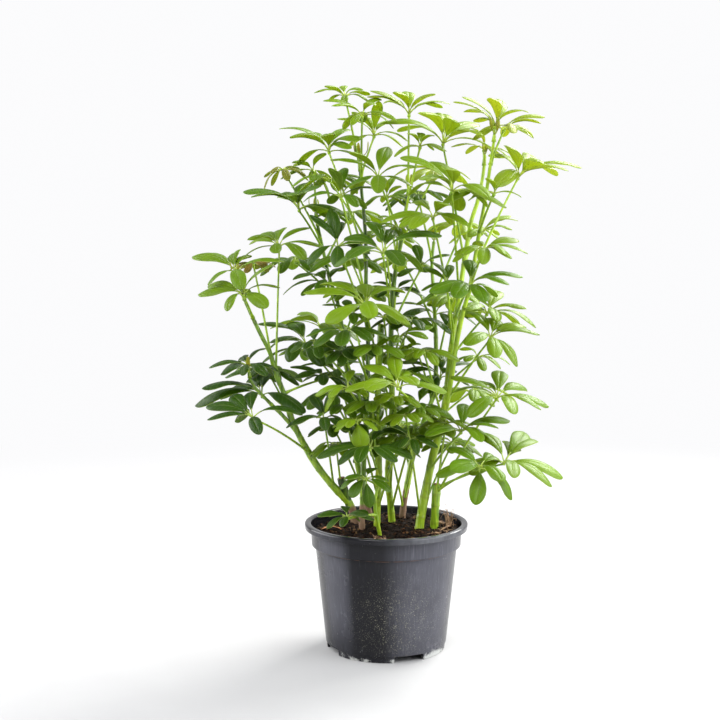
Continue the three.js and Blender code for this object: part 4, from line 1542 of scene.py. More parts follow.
@dataclass
class Leaf:
    """A compound leaf: a stalk, and leaflets spread from its hub like a hand.

    Attributes:
        FOLIAGE: Heights between which leaves are made lighter, for younger growth and for painted light.
        TOP: Heights between which they are made lighter still, for the same two.
        INSIDE: Heights below which leaves differ more in how old and how lit they are painted.
        CLOSE: Heights below which leaflets are wider.
        LIT: Places, from the shaded front left to the lit back right, between which leaves are painted
            lighter.
    """

    FOLIAGE = (250, 640)
    TOP = (500, 630)
    INSIDE = (380, 560)
    CLOSE = (380, 600)
    LIT = (-140, 150)

    plan: LeafPlan
    number: int
    root: Array
    fine: bool = False
    sizes: LeafSizes = LEAF

    def fan(self, slide: float) -> tuple[Fan, float, Draws]:
        """Lays the leaf out at one of its places along the line of sight.

        Args:
            slide: How far it is moved back.

        Returns:
            The fan, its reach and the numbers drawn on.
        """
        s = self.sizes
        draw = Draws(1000 + 37 * self.number)
        depth = self.plan.depth + slide
        hub = VIEW.place(self.plan.hub, depth)
        face = unit(vec(*s.light) + vec(hub[0], hub[1], 0) * s.outward)
        made = Fan(hub, [], [], face)
        flats = [float(np.linalg.norm(VIEW.place(pixel, depth) - hub)) for pixel in self.plan.tips]
        if flats:
            reach = max(s.least_reach, s.stretch * max(flats))
        else:
            reach = (s.fine_reach if self.fine else s.hidden_reach) * (0.9 + 0.2 * draw())
        for pixel, flat in zip(self.plan.tips, flats):
            spread = math.sqrt(max(0.0, (reach * s.slant) ** 2 - flat**2))
            near, far = VIEW.place(pixel, depth - spread), VIEW.place(pixel, depth + spread)
            fall = pixel[1] - self.plan.hub[1] if self.plan.hub[1] > s.eye_row else 0
            if abs(fall) > s.level:
                made.tips.append(near if fall > 0 else far)
            else:
                made.tips.append(near if made.clearance(near) >= made.clearance(far) else far)
        if not made.tips:
            made.tips.append(made.tip_at(TURN * draw(), reach, -0.2))
        made.fill(s.seen if flats else s.hidden, reach, draw)
        made.rolls = [s.roll * (2 * draw() - 1) for _ in made.tips]
        return made, reach, draw

    def placed(self, corners: KDTree) -> Fan:
        """Finds the place at which the solid leaf stands, if it has one, and grows the leaf out there.

        Args:
            corners: The corners of the solids, in millimetres.

        Returns:
            The fan with all its leaflets.
        """
        best, best_score = None, -1
        for slide in SLIDES[:1] if self.fine else SLIDES:
            made = self.fan(slide)
            score = sum(corners.find(tip)[2] < self.sizes.met for tip in made[0].tips)
            if score > best_score:
                best, best_score = made, score
        if best_score < 2 and not self.fine:
            log.warning("leaf %d: only %d tips met its solid", self.number, best_score)
        fan, reach, draw = best
        self.lift_front(fan)
        low, high = self.sizes.grown
        fan.fill(low + int((high - low) * draw()), reach, draw)
        while len(fan.rolls) < len(fan.tips):
            fan.rolls.append(self.sizes.roll * (2 * draw() - 1))
        return fan

    def lift_front(self, fan: Fan) -> None:
        """Lets the hidden leaflets that point at the front fall less, so that they are seen end-on.

        Args:
            fan: The leaf's fan, which is changed.
        """
        for i in range(len(self.plan.tips), len(fan.tips)):
            reach = fan.tips[i] - fan.hub
            front = float(smooth(0.55, 0.95, -reach[1] / np.linalg.norm(reach)))
            fan.tips[i] = fan.hub + reach * vec(1, 1, 1 - front * (1 - self.sizes.front_fall))

    def age(self, hub: Array) -> float:
        """Places the leaf between shade green and yellow green, by how old it is and by painted light.

        Args:
            hub: The point of its hub.

        Returns:
            How old it is and the painted light on it, from 0 to 1.
        """
        if self.plan.age:
            return self.plan.age.value
        height = float(smooth(*self.FOLIAGE, hub[2]))
        lit = float(smooth(*self.LIT, hub[0] + 0.5 * hub[1]))
        top = float(smooth(*self.TOP, hub[2]))
        return 0.08 + 0.42 * height + 0.12 * top + (0.36 - 0.06 * top + 0.16 * (1 - height)) * lit

    def grow(self, blades: MeshMaker, stems: MeshMaker, corners: KDTree) -> None:
        """Adds the leaf to its cane's meshes.

        Args:
            blades: Where the leaflets go.
            stems: Where the stalk and hub go.
            corners: The corners of the solids.
        """
        fan = self.placed(corners)
        draw = Draws(5000 + 61 * self.number)
        inner = 1 - float(smooth(*self.INSIDE, fan.hub[2]))
        shift = draw.between(-0.17 - 0.05 * inner, 0.22 + 0.26 * inner)
        # The leaf's green stands for how old it is and for the painted light and shade of its place.
        age = float(np.clip(self.age(fan.hub) + (0 if self.plan.age else shift), 0, 1))
        self.stalk(fan, stems, age, draw)
        shade = draw.between(0.25, 0.75)
        usual = 1.12 - 0.18 * float(smooth(*self.CLOSE, fan.hub[2]))
        for i, (tip, roll) in enumerate(zip(fan.tips, fan.rolls)):
            width = usual if self.fine and i >= len(self.plan.tips) else usual * self.plan.width
            tone = vec(age + draw.between(-0.04, 0.04), self.plan.russet, shade + draw.between(-0.25, 0.25))
            Leaflet(fan.hub, tip, fan.face, roll, tone, draw, width).grow(blades)

    def stalk(self, fan: Fan, stems: MeshMaker, age: float, draw: Draws) -> None:
        """Adds the stalk, swollen where it leaves the cane, and the hub.

        Args:
            fan: The leaf's fan.
            stems: Where they go.
            age: How old the leaf is and the painted light on it.
            draw: The numbers to draw from.
        """
        s = self.sizes
        under = fan.hub - fan.face * 1.2
        middle = (self.root + under) / 2
        middle[2] += s.stalk_bow * np.linalg.norm(under - self.root)
        path = Path.bow(self.root, middle, under)

        def radius(shares: Array) -> Array:
            """Gives the stalk's thickness.

            Args:
                shares: Where along it.

            Returns:
                Its radius there.
            """
            run = shares * path.length
            slim = s.stalk_root + (s.stalk_tip - s.stalk_root) * shares
            foot = s.stalk_swelling * np.exp(-((run / 5.0) ** 2))
            head = s.stalk_flare * np.exp(-(((path.length - run) / 3.0) ** 2))
            return slim + (foot + head)

        def dome(shares: Array) -> Array:
            """Radius of the hub at shares of its height."""
            return s.hub_radius * np.sqrt(1.02 - (1.5 * shares - 0.6) ** 2)

        # The stalk's green follows how old and how lit the leaf is painted.
        tint = 0.66 + 0.14 * age + draw.between(-0.10, 0.08)
        stems.tube(path, radius, vec(tint, draw(), 0), 4.0, 8)
        knob = Path([fan.hub + fan.face * rise for rise in (-2.4, -0.6, 1.2)], False)
        stems.tube(knob, dome, vec(tint, 0.5, 0), 0.6, 10)


@dataclass
class Leaflet:
    """One leaflet: a short stalk and an arched blade with a sunk midrib and a thin closed edge."""

    hub: Array
    tip: Array
    face: Array
    roll: float
    tone: Array
    draw: Draws
    width: float = 1.0
    sizes: LeafSizes = LEAF

    def grow(self, blades: MeshMaker) -> None:
        """Adds the leaflet to a mesh.

        Args:
            blades: The mesh.
        """
        s = self.sizes
        chord = self.tip - self.hub
        length = float(np.linalg.norm(chord))
        along = chord / length
        across = unit(np.cross(self.face, along))
        across = turned_about(across, along, self.roll)
        up = unit(np.cross(along, across))
        arch = s.arch * self.draw.between(*s.arch_span)
        sway = self.draw.between(-s.sway, s.sway)
        twist = self.draw.between(-s.twist, s.twist)
        fold = self.draw.between(*s.fold)
        curl = self.draw.between(*s.curl)
        wave, phase = self.draw.between(*s.wave), TURN * self.draw()
        wide = s.half_width * length * self.width * self.draw.between(*s.width_span)

        def middle(shares: Array) -> Array:
            """Follows the midrib.

            Args:
                shares: Where along the leaflet's length.

            Returns:
                Points on it.
            """
            eased = shares**0.9
            rise = 4 * arch * length * eased * (1 - eased)
            drift = 4 * sway * length * shares * (1 - shares)
            return self.hub + np.outer(shares, chord) + np.outer(rise, up) + np.outer(drift, across)

        even = np.linspace(0, 1, s.rows)
        run = 1 - (1 - even) ** 1.5
        run[-1] = 0.9985
        shares = s.blade_start + (1 - s.blade_start) * run
        centres = middle(shares)
        ways = middle(np.clip(shares + 0.004, 0, 1)) - middle(shares - 0.004)
        ways /= np.linalg.norm(ways, axis=1)[:, None]
        peak = s.shoulder / (s.shoulder + s.bluntness)
        full = peak**s.shoulder * (1 - peak) ** s.bluntness
        half = wide * np.maximum(run**s.shoulder * (1 - run) ** s.bluntness / full, 0.035)
        columns = np.array(s.columns)
        sides = np.array([turned_about(across, way, twist * (t - 0.4)) for way, t in zip(ways, run)])
        sides -= ways * np.sum(sides * ways, axis=1)[:, None]
        sides /= np.linalg.norm(sides, axis=1)[:, None]
        ups = np.cross(ways, sides)
        out = half[:, None] * columns
        bend = fold * np.abs(columns) - curl * columns**2
        ruffle = wave * columns**2 * np.sign(columns)
        lift = half[:, None] * (bend + ruffle * np.sin(phase + 9 * run)[:, None])
        thick = s.margin + (s.thickness - s.margin) * (1 - columns**2)
        groove = 0.30 * np.exp(-((columns / 0.05) ** 2)) * (1 - run[:, None] * 0.6)
        ridge = s.midrib * np.exp(-((columns / 0.06) ** 2)) * (1 - run[:, None] * 0.75)
        sheets = []
        for side in (1, -1):
            height = lift + side * thick / 2 - (groove if side > 0 else ridge)
            sheet = centres[:, None] + sides[:, None] * out[..., None] + ups[:, None] * height[..., None]
            sheets.append(sheet.reshape(-1, 3))
        place = [np.tile(columns, s.rows), np.repeat(run, len(columns))]
        marks = [np.stack([*place, np.full(out.size, side)], axis=1) for side in (1.0, -1.0)]
        blades.add(np.vstack(sheets), sheet_faces(s.rows, len(columns)), np.vstack(marks), self.tone)
        stem = Path(middle(np.linspace(0.0, s.blade_start + 0.05, 7)), False)
        blades.tube(stem, lambda at: 0.85 - 0.2 * at, self.tone, 3.0, 6)


def sheet_faces(rows: int, columns: int) -> list[Face]:
    """Faces of a thin closed sheet.

    Args:
        rows: Rows of points on each side.
        columns: Points in a row.

    Returns:
        The faces of the upper side, the lower side and the rim between them.
    """
    faces: list[Face] = []
    under = rows * columns
    for r in range(rows - 1):
        for c in range(columns - 1):
            a = r * columns + c
            quad = (a, a + 1, a + columns + 1, a + columns)
            faces.append(quad[::-1])
            faces.append(tuple(i + under for i in quad))
    edge = [*range(columns), *(r * columns + columns - 1 for r in range(1, rows))]
    edge += [(rows - 1) * columns + c for c in range(columns - 2, -1, -1)]
    edge += [r * columns for r in range(rows - 2, 0, -1)]
    for a, b in zip(edge, [*edge[1:], edge[0]]):
        faces.append((a, b, b + under, a + under))
    return faces


# ---- Canes -------------------------------------


@dataclass(frozen=True)
class CanePlan:
    """One cane of the plant's plan.

    Attributes:
        name: Its name.
        line: The pixels of its centre line, from the foot up.
        depth: The depth of its foot and of its top.
        radius: Its radius at both.
        on: The cane that carries it, or None where it stands in the soil.
        tint: Its green at the foot and at the top, from dark at 0 to yellow at 1, partly painted light on lit
            canes.
        bark: Height above the soil up to which it is brown.
        cut: How fresh the cut at its top is, or 0 where it still grows.
    """

    name: str
    line: tuple[Pixel, ...]
    depth: Pair
    radius: Pair
    on: str | None = None
    tint: Pair = (0.5, 0.4)
    bark: float = 3.0
    cut: float = 0.0

    @property
    def node(self) -> str:
        """The solid that it belongs to."""
        return self.on or self.name

    def depth_at(self, row: float) -> float:
        """Reads its depth.

        Args:
            row: The row of the view.

        Returns:
            How far behind the pot's axis it is there.
        """
        foot, top = self.line[0][1], self.line[-1][1]
        share = (foot - row) / (foot - top)
        return self.depth[0] + (self.depth[1] - self.depth[0]) * share


class Cane:
    """A cane with its rings, bark and tip."""

    FOOT = 101.5
    SOIL = 138.0
    FIRST_RING = (4, 16)
    RING_GAP = (9, 26)
    RING_WIDTH = 1.3
    RING_SWELLING = 0.09
    SIDES = 14
    BUDS = 4

    def __init__(self, plan: CanePlan) -> None:
        """Lays the cane's centre line.

        Args:
            plan: The cane's plan.
        """
        self.plan = plan
        points = [VIEW.place(pixel, plan.depth_at(pixel[1])) for pixel in plan.line]
        if plan.on is None:
            points.insert(0, vec(points[0][0], points[0][1], self.FOOT))
        self.path = Path(points)

    def row_point(self, row: float) -> Array:
        """Finds the first point of the cane that is as high as a row of the view.

        Args:
            row: The row.

        Returns:
            The point.
        """
        height = VIEW.place((VIEW.centre, row), self.plan.depth_at(row))[2]
        points = self.path.at(np.linspace(0, 1, 401))
        reached = np.nonzero(points[:, 2] >= height)[0]
        return points[reached[0]] if len(reached) else points[-1]

    def grow(self, stems: MeshMaker, blades: MeshMaker) -> None:
        """Adds the cane to its node's meshes.

        Args:
            stems: Where the cane goes.
            blades: Where its youngest leaflets go.
        """
        plan = self.plan
        draw = Draws(7000 + sum(map(ord, plan.name)))
        rings = []
        run = draw.between(*self.FIRST_RING)
        while run < self.path.length:
            rings.append(run)
            run += draw.between(*self.RING_GAP)
        nodes = np.array(rings) / self.path.length

        def ringed(shares: Array) -> Array:
            """How near shares of the length are to a ring, from 0 to 1."""
            away = np.abs(shares[:, None] - nodes) * self.path.length
            return np.exp(-((away / self.RING_WIDTH) ** 2)).max(axis=1)

        def radius(shares: Array) -> Array:
            """Gives the cane's thickness.

            Args:
                shares: Where along it.

            Returns:
                Its radius there.
            """
            plain = plan.radius[0] + (plan.radius[1] - plan.radius[0]) * shares
            waves = 0.05 * np.sin(shares * self.path.length * 0.11 + plan.radius[0])
            tip = 1 if plan.cut else np.sqrt(np.clip((1 - shares) * self.path.length / 3.0, 0.02, 1))
            return plain * (1 + waves + self.RING_SWELLING * ringed(shares)) * tip

        def mark(shares: Array) -> Array:
            """Bark, ring and cut at shares of the length."""
            brown = 1 - smooth(plan.bark * 0.5 - 4, plan.bark * 1.4, self.path.at(shares)[:, 2] - self.SOIL)
            return np.stack([brown, ringed(shares) * 0.8, np.zeros(len(shares))], axis=1)

        def tone(shares: Array) -> Array:
            """Green at shares of the length."""
            tint = plan.tint[0] + (plan.tint[1] - plan.tint[0]) * smooth(0.2, 0.7, shares)
            return np.stack([tint, np.full(len(shares), 0.5), np.zeros(len(shares))], axis=1)

        stems.tube(self.path, radius, tone, 1.6, self.SIDES, mark)
        if plan.cut:
            self.cap(stems)
        else:
            self.bud(blades, draw)

    def cap(self, stems: MeshMaker) -> None:
        """Adds the cut face, which is drier and redder than the cane.

        Args:
            stems: Where it goes.
        """
        end, way = self.path.at(1.0), unit(self.path.at(1.0) - self.path.at(0.97))
        wide = self.plan.radius[1] * 0.9
        path = Path([end - way, end + way * 0.25, end + way * 0.5], False)

        def face(shares: Array) -> Array:
            """The mark of the cut face."""
            return np.tile([1.0 - self.plan.cut, 0.0, self.plan.cut], (len(shares), 1))

        stems.tube(path, lambda at: wide * (1 - 0.2 * at**3), vec(0.1, 0.5, 0), 0.5, self.SIDES, face)

    def bud(self, blades: MeshMaker, draw: Draws) -> None:
        """Adds the youngest, still folded leaflets at the growing tip.

        Args:
            blades: Where they go.
            draw: The numbers to draw from.
        """
        end = self.path.at(1.0)
        for k in range(self.BUDS):
            turn = TURN * (k / self.BUDS + 0.1 * draw())
            length = draw.between(9, 21)
            lean = draw.between(0.15, 0.5)
            way = unit(vec(lean * math.cos(turn), lean * math.sin(turn), 1))
            tone = vec(0.8, 0.45 * draw(), 0.6)
            face = unit(vec(math.cos(turn), math.sin(turn), 0.3))
            Leaflet(end, end + way * length, face, 0, tone, draw, 0.7).grow(blades)


# ---- The plan ----------------------------------

# The tints are partly painted light: canes that stand lit are given yellower greens.
CANES: tuple[CanePlan, ...] = (
    CanePlan(
        "cane_left",
        ((355, 522), (349, 503), (334, 487), (320, 470), (309, 453), (300, 437), (292, 420), (284, 394),
         (276, 374), (270, 353), (261, 335), (250, 312), (243, 296), (237, 277)),
        depth=(28, -22), radius=(5.6, 1.5), tint=(0.62, 0.38), bark=26.0,
    ),
    CanePlan(
        "shoot_left",
        ((302, 439), (284, 417), (266, 399), (252, 383), (248, 372)),
        depth=(11, -12), radius=(2.6, 1.5), on="cane_left", tint=(0.42, 0.36),
    ),
    CanePlan(
        "stump_left",
        ((350, 507), (345, 492), (341, 478)),
        depth=(25, 19), radius=(4.8, 4.6), on="cane_left", tint=(0.10, 0.02), bark=24.0, cut=0.15,
    ),
    CanePlan(
        "cane_dark",
        ((362, 531), (363, 480), (366, 420), (368, 340), (366, 290), (366, 250), (364, 215), (361, 185),
         (360, 158)),
        depth=(-8, 14), radius=(3.6, 1.7), tint=(0.30, 0.12), bark=34.0,
    ),
    CanePlan(
        "cane_back_left",
        ((371, 521), (361, 480), (352, 420), (347, 370), (343, 335), (337, 300), (330, 280), (323, 250),
         (319, 232), (315, 212)),
        depth=(44, 70), radius=(3.8, 1.8), tint=(0.62, 0.34), bark=30.0,
    ),
    CanePlan(
        "cane_cut",
        ((377, 527), (379, 470), (378, 430), (378, 390), (380, 350), (381, 324)),
        depth=(10, 24), radius=(3.9, 3.6), tint=(0.90, 0.62), cut=1.0,
    ),
    CanePlan(
        "cane_tall",
        ((392, 524), (388, 470), (391, 435), (392, 400), (391, 350), (392, 300), (396, 268), (401, 240),
         (405, 215), (409, 190)),
        depth=(26, 4), radius=(4.4, 2.0), tint=(0.90, 0.20), bark=6.0,
    ),
    CanePlan(
        "cane_back",
        ((402, 519), (410, 470), (415, 445), (425, 418), (434, 392), (436, 350), (434, 300), (432, 262),
         (434, 240)),
        depth=(52, 76), radius=(4.2, 1.8), tint=(0.74, 0.50), bark=42.0,
    ),
    CanePlan(
        "cane_right",
        ((419, 531), (424, 500), (432, 460), (440, 430), (446, 400), (449, 370), (452, 345), (455, 320),
         (459, 300), (463, 270), (467, 245), (471, 222), (478, 200), (483, 175), (485, 154)),
        depth=(-6, 20), radius=(5.8, 1.8), tint=(0.86, 0.88),
    ),
    CanePlan(
        "branch_right",
        ((446, 408), (452, 372), (457, 340), (463, 312), (470, 288), (475, 258), (480, 228), (486, 195),
         (491, 160), (495, 134)),
        depth=(2, -46), radius=(3.4, 1.6), on="cane_right", tint=(0.86, 0.84),
    ),
    CanePlan(
        "cane_short",
        ((434, 531), (435, 512), (436, 497), (437, 484)),
        depth=(-4, -8), radius=(5.2, 4.8), tint=(0.78, 0.60), bark=5.0, cut=0.3,
    ),
    CanePlan(
        "cane_front",
        ((380, 537), (377, 520), (375, 505), (378, 484)),
        depth=(-38, -48), radius=(2.6, 1.7), tint=(0.84, 0.70),
    ),
)

# Each call plans a leaf on one cane.
on_left = partial(LeafPlan, "cane_left")
on_shoot = partial(LeafPlan, "shoot_left")
on_dark = partial(LeafPlan, "cane_dark")
on_back_left = partial(LeafPlan, "cane_back_left")
on_cut = partial(LeafPlan, "cane_cut")
on_tall = partial(LeafPlan, "cane_tall")
on_back = partial(LeafPlan, "cane_back")
on_right = partial(LeafPlan, "cane_right")
on_branch = partial(LeafPlan, "branch_right")
on_short = partial(LeafPlan, "cane_short")
on_front = partial(LeafPlan, "cane_front")

# Leaves that stand in the solids and in the view.
# Their greens also paint light and shade: leaves that stand lit are given lighter greens, leaves in shade
# darker ones.
LEAVES: tuple[LeafPlan, ...] = (
    # crown
    on_dark(172, (345, 97), 6, ((314, 93), (325, 86), (344, 87), (363, 90), (370, 95))),
    on_dark(185, (362, 116), -22, ((323, 101), (332, 106), (380, 99), (374, 105))),
    on_dark(178, (374, 136), 34, ((337, 119), (352, 112), (363, 117), (379, 101), (392, 121))),
    on_tall(196, (409, 115), 2,
        ((370, 91), (367, 97), (385, 103), (394, 92), (408, 92), (435, 94), (450, 104), (442, 108))),
    on_tall(215, (420, 147), -24, ((408, 134), (420, 133), (434, 136))),
    on_right(262, (443, 144), -38,
        ((380, 124), (398, 132), (420, 113), (440, 115), (452, 120), (478, 124), (481, 135))),
    on_branch(142, (495, 127), -46,
        ((462, 97), (453, 102), (464, 112), (490, 98), (501, 100), (528, 112), (475, 122))),
    on_branch(165, (504, 130), -20, ((545, 117), (541, 123), (533, 138), (512, 133))),
    on_right(166, (484, 150), 24, ((451, 147), (466, 154), (471, 128))),
    on_branch(275, (518, 178), 2,
        ((582, 168), (568, 171), (556, 176), (508, 147), (540, 162), (530, 155), (490, 157), (496, 186))),
    on_branch(232, (494, 194), -66, ((487, 178), (499, 183), (515, 178))),
    on_tall(240, (378, 178), -30, ((330, 160), (350, 152), (388, 147), (417, 168))),
    on_dark(262, (329, 152), 20,
        ((279, 129), (290, 137), (308, 134), (328, 135), (350, 130), (360, 140), (350, 149))),
    on_back_left(226, (313, 171), 66, ((293, 162), (295, 166), (325, 153), (330, 203))),
    on_dark(300, (341, 198), -30,
        ((330, 168), (344, 168), (330, 204), (372, 176), (383, 190)), age=AgeAndLight.MATURE),
    on_tall(262, (387, 198), 40, ((382, 176), (395, 176), (400, 186))),
    on_back_left(250, (299, 210), 30,
        ((243, 192), (251, 197), (280, 195), (295, 195), (307, 183), (320, 187))),
    on_back_left(240, (283, 170), 84, ((264, 190), (272, 186), (288, 181), (300, 171)), russet=0.5),
    on_right(300, (452, 192), -66, ((400, 158), (430, 162), (448, 170), (420, 180), (410, 195))),
    # left side
    on_left(300, (236, 272), -24,
        ((192, 257), (204, 254), (237, 253), (248, 258), (285, 262), (242, 290)), age=AgeAndLight.YOUNG),
    on_left(355, (253, 264), 14, ((247, 273), (258, 269), (266, 268)), russet=0.85),
    on_left(318, (243, 295), -52,
        ((198, 295), (208, 286), (228, 311), (267, 308), (274, 264), (280, 288)), age=AgeAndLight.YOUNG),
    on_left(374, (279, 247), 22,
        ((248, 240), (251, 244), (262, 235), (284, 230), (310, 228), (325, 248), (305, 260)), age=AgeAndLight.YOUNG),
    on_left(453, (253, 418), -58, ((206, 407), (207, 420), (242, 421), (232, 395), (252, 392), (303, 415))),
    on_shoot(405, (262, 396), -30, ((195, 406), (202, 389), (223, 399), (255, 378), (270, 370), (280, 376))),
    on_shoot(378, (248, 366), -12, ((209, 368), (221, 375), (243, 360), (266, 349))),
    on_left(487, (324, 420), -44, ((292, 425), (312, 395), (286, 428), (343, 386))),
    on_left(394, (325, 378), 14, ((290, 367), (295, 378), (310, 375)), age=AgeAndLight.DEEP),
    # inner left
    on_dark(330, (338, 247), -16,
        ((310, 215), (330, 209), (308, 265), (336, 267), (372, 243), (342, 222)), age=AgeAndLight.DEEP),
    on_back_left(335, (328, 285), 30, ((283, 295), (293, 280), (320, 275), (345, 270)), age=AgeAndLight.SHADE),
    on_back_left(400, (306, 345), 50, ((270, 343), (268, 351), (290, 362), (258, 324), (290, 323))),
    on_dark(400, (315, 345), -34, ((340, 350), (348, 335), (315, 329))),
    on_back_left(370, (321, 328), 96, ((291, 320), (270, 329), (300, 313)), age=AgeAndLight.YOUNG),
    # centre
    on_cut(372, (365, 306), -66, ((303, 293), (321, 285), (366, 285), (404, 293)), age=AgeAndLight.BRIGHT),
    on_tall(320, (383, 254), -36,
        ((442, 236), (342, 245), (345, 238), (368, 222), (393, 232)), age=AgeAndLight.SHADE),
    on_right(330, (433, 218), -74,
        ((381, 222), (415, 203), (445, 205), (472, 188), (452, 225), (410, 229)), age=AgeAndLight.BRIGHT),
    on_right(345, (447, 284), -44, ((432, 262), (425, 268), (450, 265), (430, 293)), age=AgeAndLight.MATURE),
    on_tall(330, (420, 270), 30, ((408, 258), (415, 245), (450, 255)), age=AgeAndLight.SHADE),
    on_back(370, (435, 315), 60,
        ((400, 318), (390, 305), (405, 290), (436, 292), (450, 293), (452, 330)), age=AgeAndLight.DEEP),
    on_tall(372, (399, 338), -28, ((433, 327), (428, 339), (386, 315)), age=AgeAndLight.YOUNG),
    on_right(435, (398, 388), -92,
        ((365, 390), (345, 391), (365, 365), (393, 356), (405, 372), (417, 385)), age=AgeAndLight.BRIGHT),
    on_cut(440, (348, 388), -62, ((315, 396), (325, 412), (352, 370)), age=AgeAndLight.BRIGHT),
    on_tall(470, (411, 440), -58, ((382, 430), (380, 421)), age=AgeAndLight.DEEP, width=0.8),
    on_back(430, (440, 378), 26, ((405, 373), (400, 362), (440, 350), (472, 364), (452, 373)), age=AgeAndLight.DEEP),
    on_cut(480, (370, 449), -76,
        ((317, 458), (397, 462), (387, 433), (358, 463), (354, 424)), age=AgeAndLight.DEEP, width=0.75),
    on_right(470, (461, 432), -40, ((425, 407), (465, 404), (510, 421), (498, 428), (425, 436), (481, 442))),
    # right side
    on_right(262, (482, 233), 34, ((518, 221), (511, 216), (512, 230), (497, 235))),
    on_branch(292, (484, 250), -62, ((518, 240), (528, 254), (504, 254), (476, 247))),
    on_right(318, (469, 287), -34,
        ((523, 277), (509, 285), (468, 260), (430, 292), (455, 298), (485, 302)), age=AgeAndLight.MATURE),
    on_right(360, (487, 314), 14, ((498, 291), (526, 309), (536, 328), (465, 310))),
    on_right(404, (490, 339), -22,
        ((540, 335), (525, 327), (495, 321), (470, 312), (517, 367), (495, 358), (465, 345))),
    on_back(400, (477, 358), 46, ((510, 365), (484, 371), (460, 350))),
    on_short(496, (497, 398), -40,
        ((500, 371), (526, 389), (549, 407), (541, 410), (513, 414), (450, 377), (450, 394), (473, 385))),
    on_short(492, (479, 468), -78, ((450, 470), (450, 447), (475, 505), (512, 500), (497, 461)), width=1.3),
    on_short(488, (504, 463), -40, ((478, 432), (510, 445), (524, 432), (534, 440), (563, 478), (552, 487))),
    # within
    on_back_left(425, (336, 373), 22, ((300, 366), (318, 359), (350, 355), (362, 363))),
    on_dark(380, (352, 316), 34, ((330, 322), (322, 305), (345, 300), (372, 310))),
    on_tall(350, (396, 292), 44, ((374, 283), (386, 272), (412, 280), (420, 293)), age=AgeAndLight.DEEP),
    on_back(395, (404, 352), 70, ((385, 346), (395, 335), (420, 344), (430, 356))),
    on_back(450, (418, 406), 6, ((446, 413), (436, 425), (400, 393), (425, 387))),
    on_tall(270, (398, 228), -14, ((378, 217), (372, 229), (386, 239), (416, 238))),
    # foot
    on_front(486, (366, 479), -78,
        ((345, 479), (352, 498), (370, 508), (391, 492), (375, 470)), age=AgeAndLight.SHADE, width=1.3),
    on_front(515, (347, 518), -66, ((317, 516), (345, 507), (368, 515))),
)

# Leaves that stand in the solids, mostly out of view.
BACK_LEAVES: tuple[LeafPlan, ...] = (
    on_back(262, (418, 196), 74, age=AgeAndLight.SHADE),
    on_back(300, (464, 226), 78),
    on_back(330, (404, 262), 85),
    on_back(372, (452, 300), 84),
    on_back(400, (418, 352), 72),
    on_back(440, (470, 392), 76),
    on_back_left(262, (350, 214), 75),
    on_back_left(300, (296, 262), 73),
    on_back_left(340, (362, 290), 84),
    on_back_left(380, (306, 352), 78),
    on_back_left(420, (366, 378), 88),
    on_tall(300, (384, 236), 62),
    on_dark(240, (330, 180), 72),
    on_tall(250, (436, 172), 68),
    on_left(440, (268, 372), 62),
    on_back(470, (398, 428), 52),
    on_dark(300, (352, 262), 44),
    on_tall(410, (374, 352), 56),
    on_back_left(440, (332, 396), 44),
    on_tall(450, (386, 408), 48),
    on_dark(380, (346, 332), -8),
    on_tall(370, (412, 322), 12, age=AgeAndLight.DEEP),
    on_tall(480, (386, 446), 20),
)

# Small inner leaves, which the solids don't have.
FINE_LEAVES: tuple[LeafPlan, ...] = (
    # Their greens also paint the light and shade of where they stand.
    on_cut(500, (357, 421), -70, ((361, 449),), AgeAndLight.BRIGHT, width=1.75),
    on_back_left(505, (334, 428), -12),
    on_left(495, (336, 446), 6, age=AgeAndLight.YOUNG),
    on_dark(500, (344, 408), -30, age=AgeAndLight.MATURE),
    on_tall(512, (420, 410), -34, age=AgeAndLight.YOUNG),
    on_tall(500, (396, 398), -64, age=AgeAndLight.BRIGHT),
    on_cut(510, (402, 436), -20, age=AgeAndLight.YOUNG),
    on_cut(495, (372, 404), -46, age=AgeAndLight.YOUNG),
    on_back(508, (388, 440), 14, age=AgeAndLight.BRIGHT),
    on_back(500, (422, 428), 8, age=AgeAndLight.YOUNG),
    on_right(520, (406, 416), -58, age=AgeAndLight.BRIGHT),
    on_right(512, (452, 444), 24, age=AgeAndLight.YOUNG),
    on_short(500, (446, 424), -30, age=AgeAndLight.BRIGHT),
    on_tall(440, (404, 374), -26, age=AgeAndLight.YOUNG),
    on_cut(430, (376, 348), -40, age=AgeAndLight.YOUNG),
    on_dark(420, (344, 352), -30, age=AgeAndLight.DEEP),
    on_right(420, (424, 352), -24, age=AgeAndLight.BRIGHT),
    on_tall(400, (384, 318), -20, age=AgeAndLight.YOUNG),
)


# ---- On the soil -------------------------------


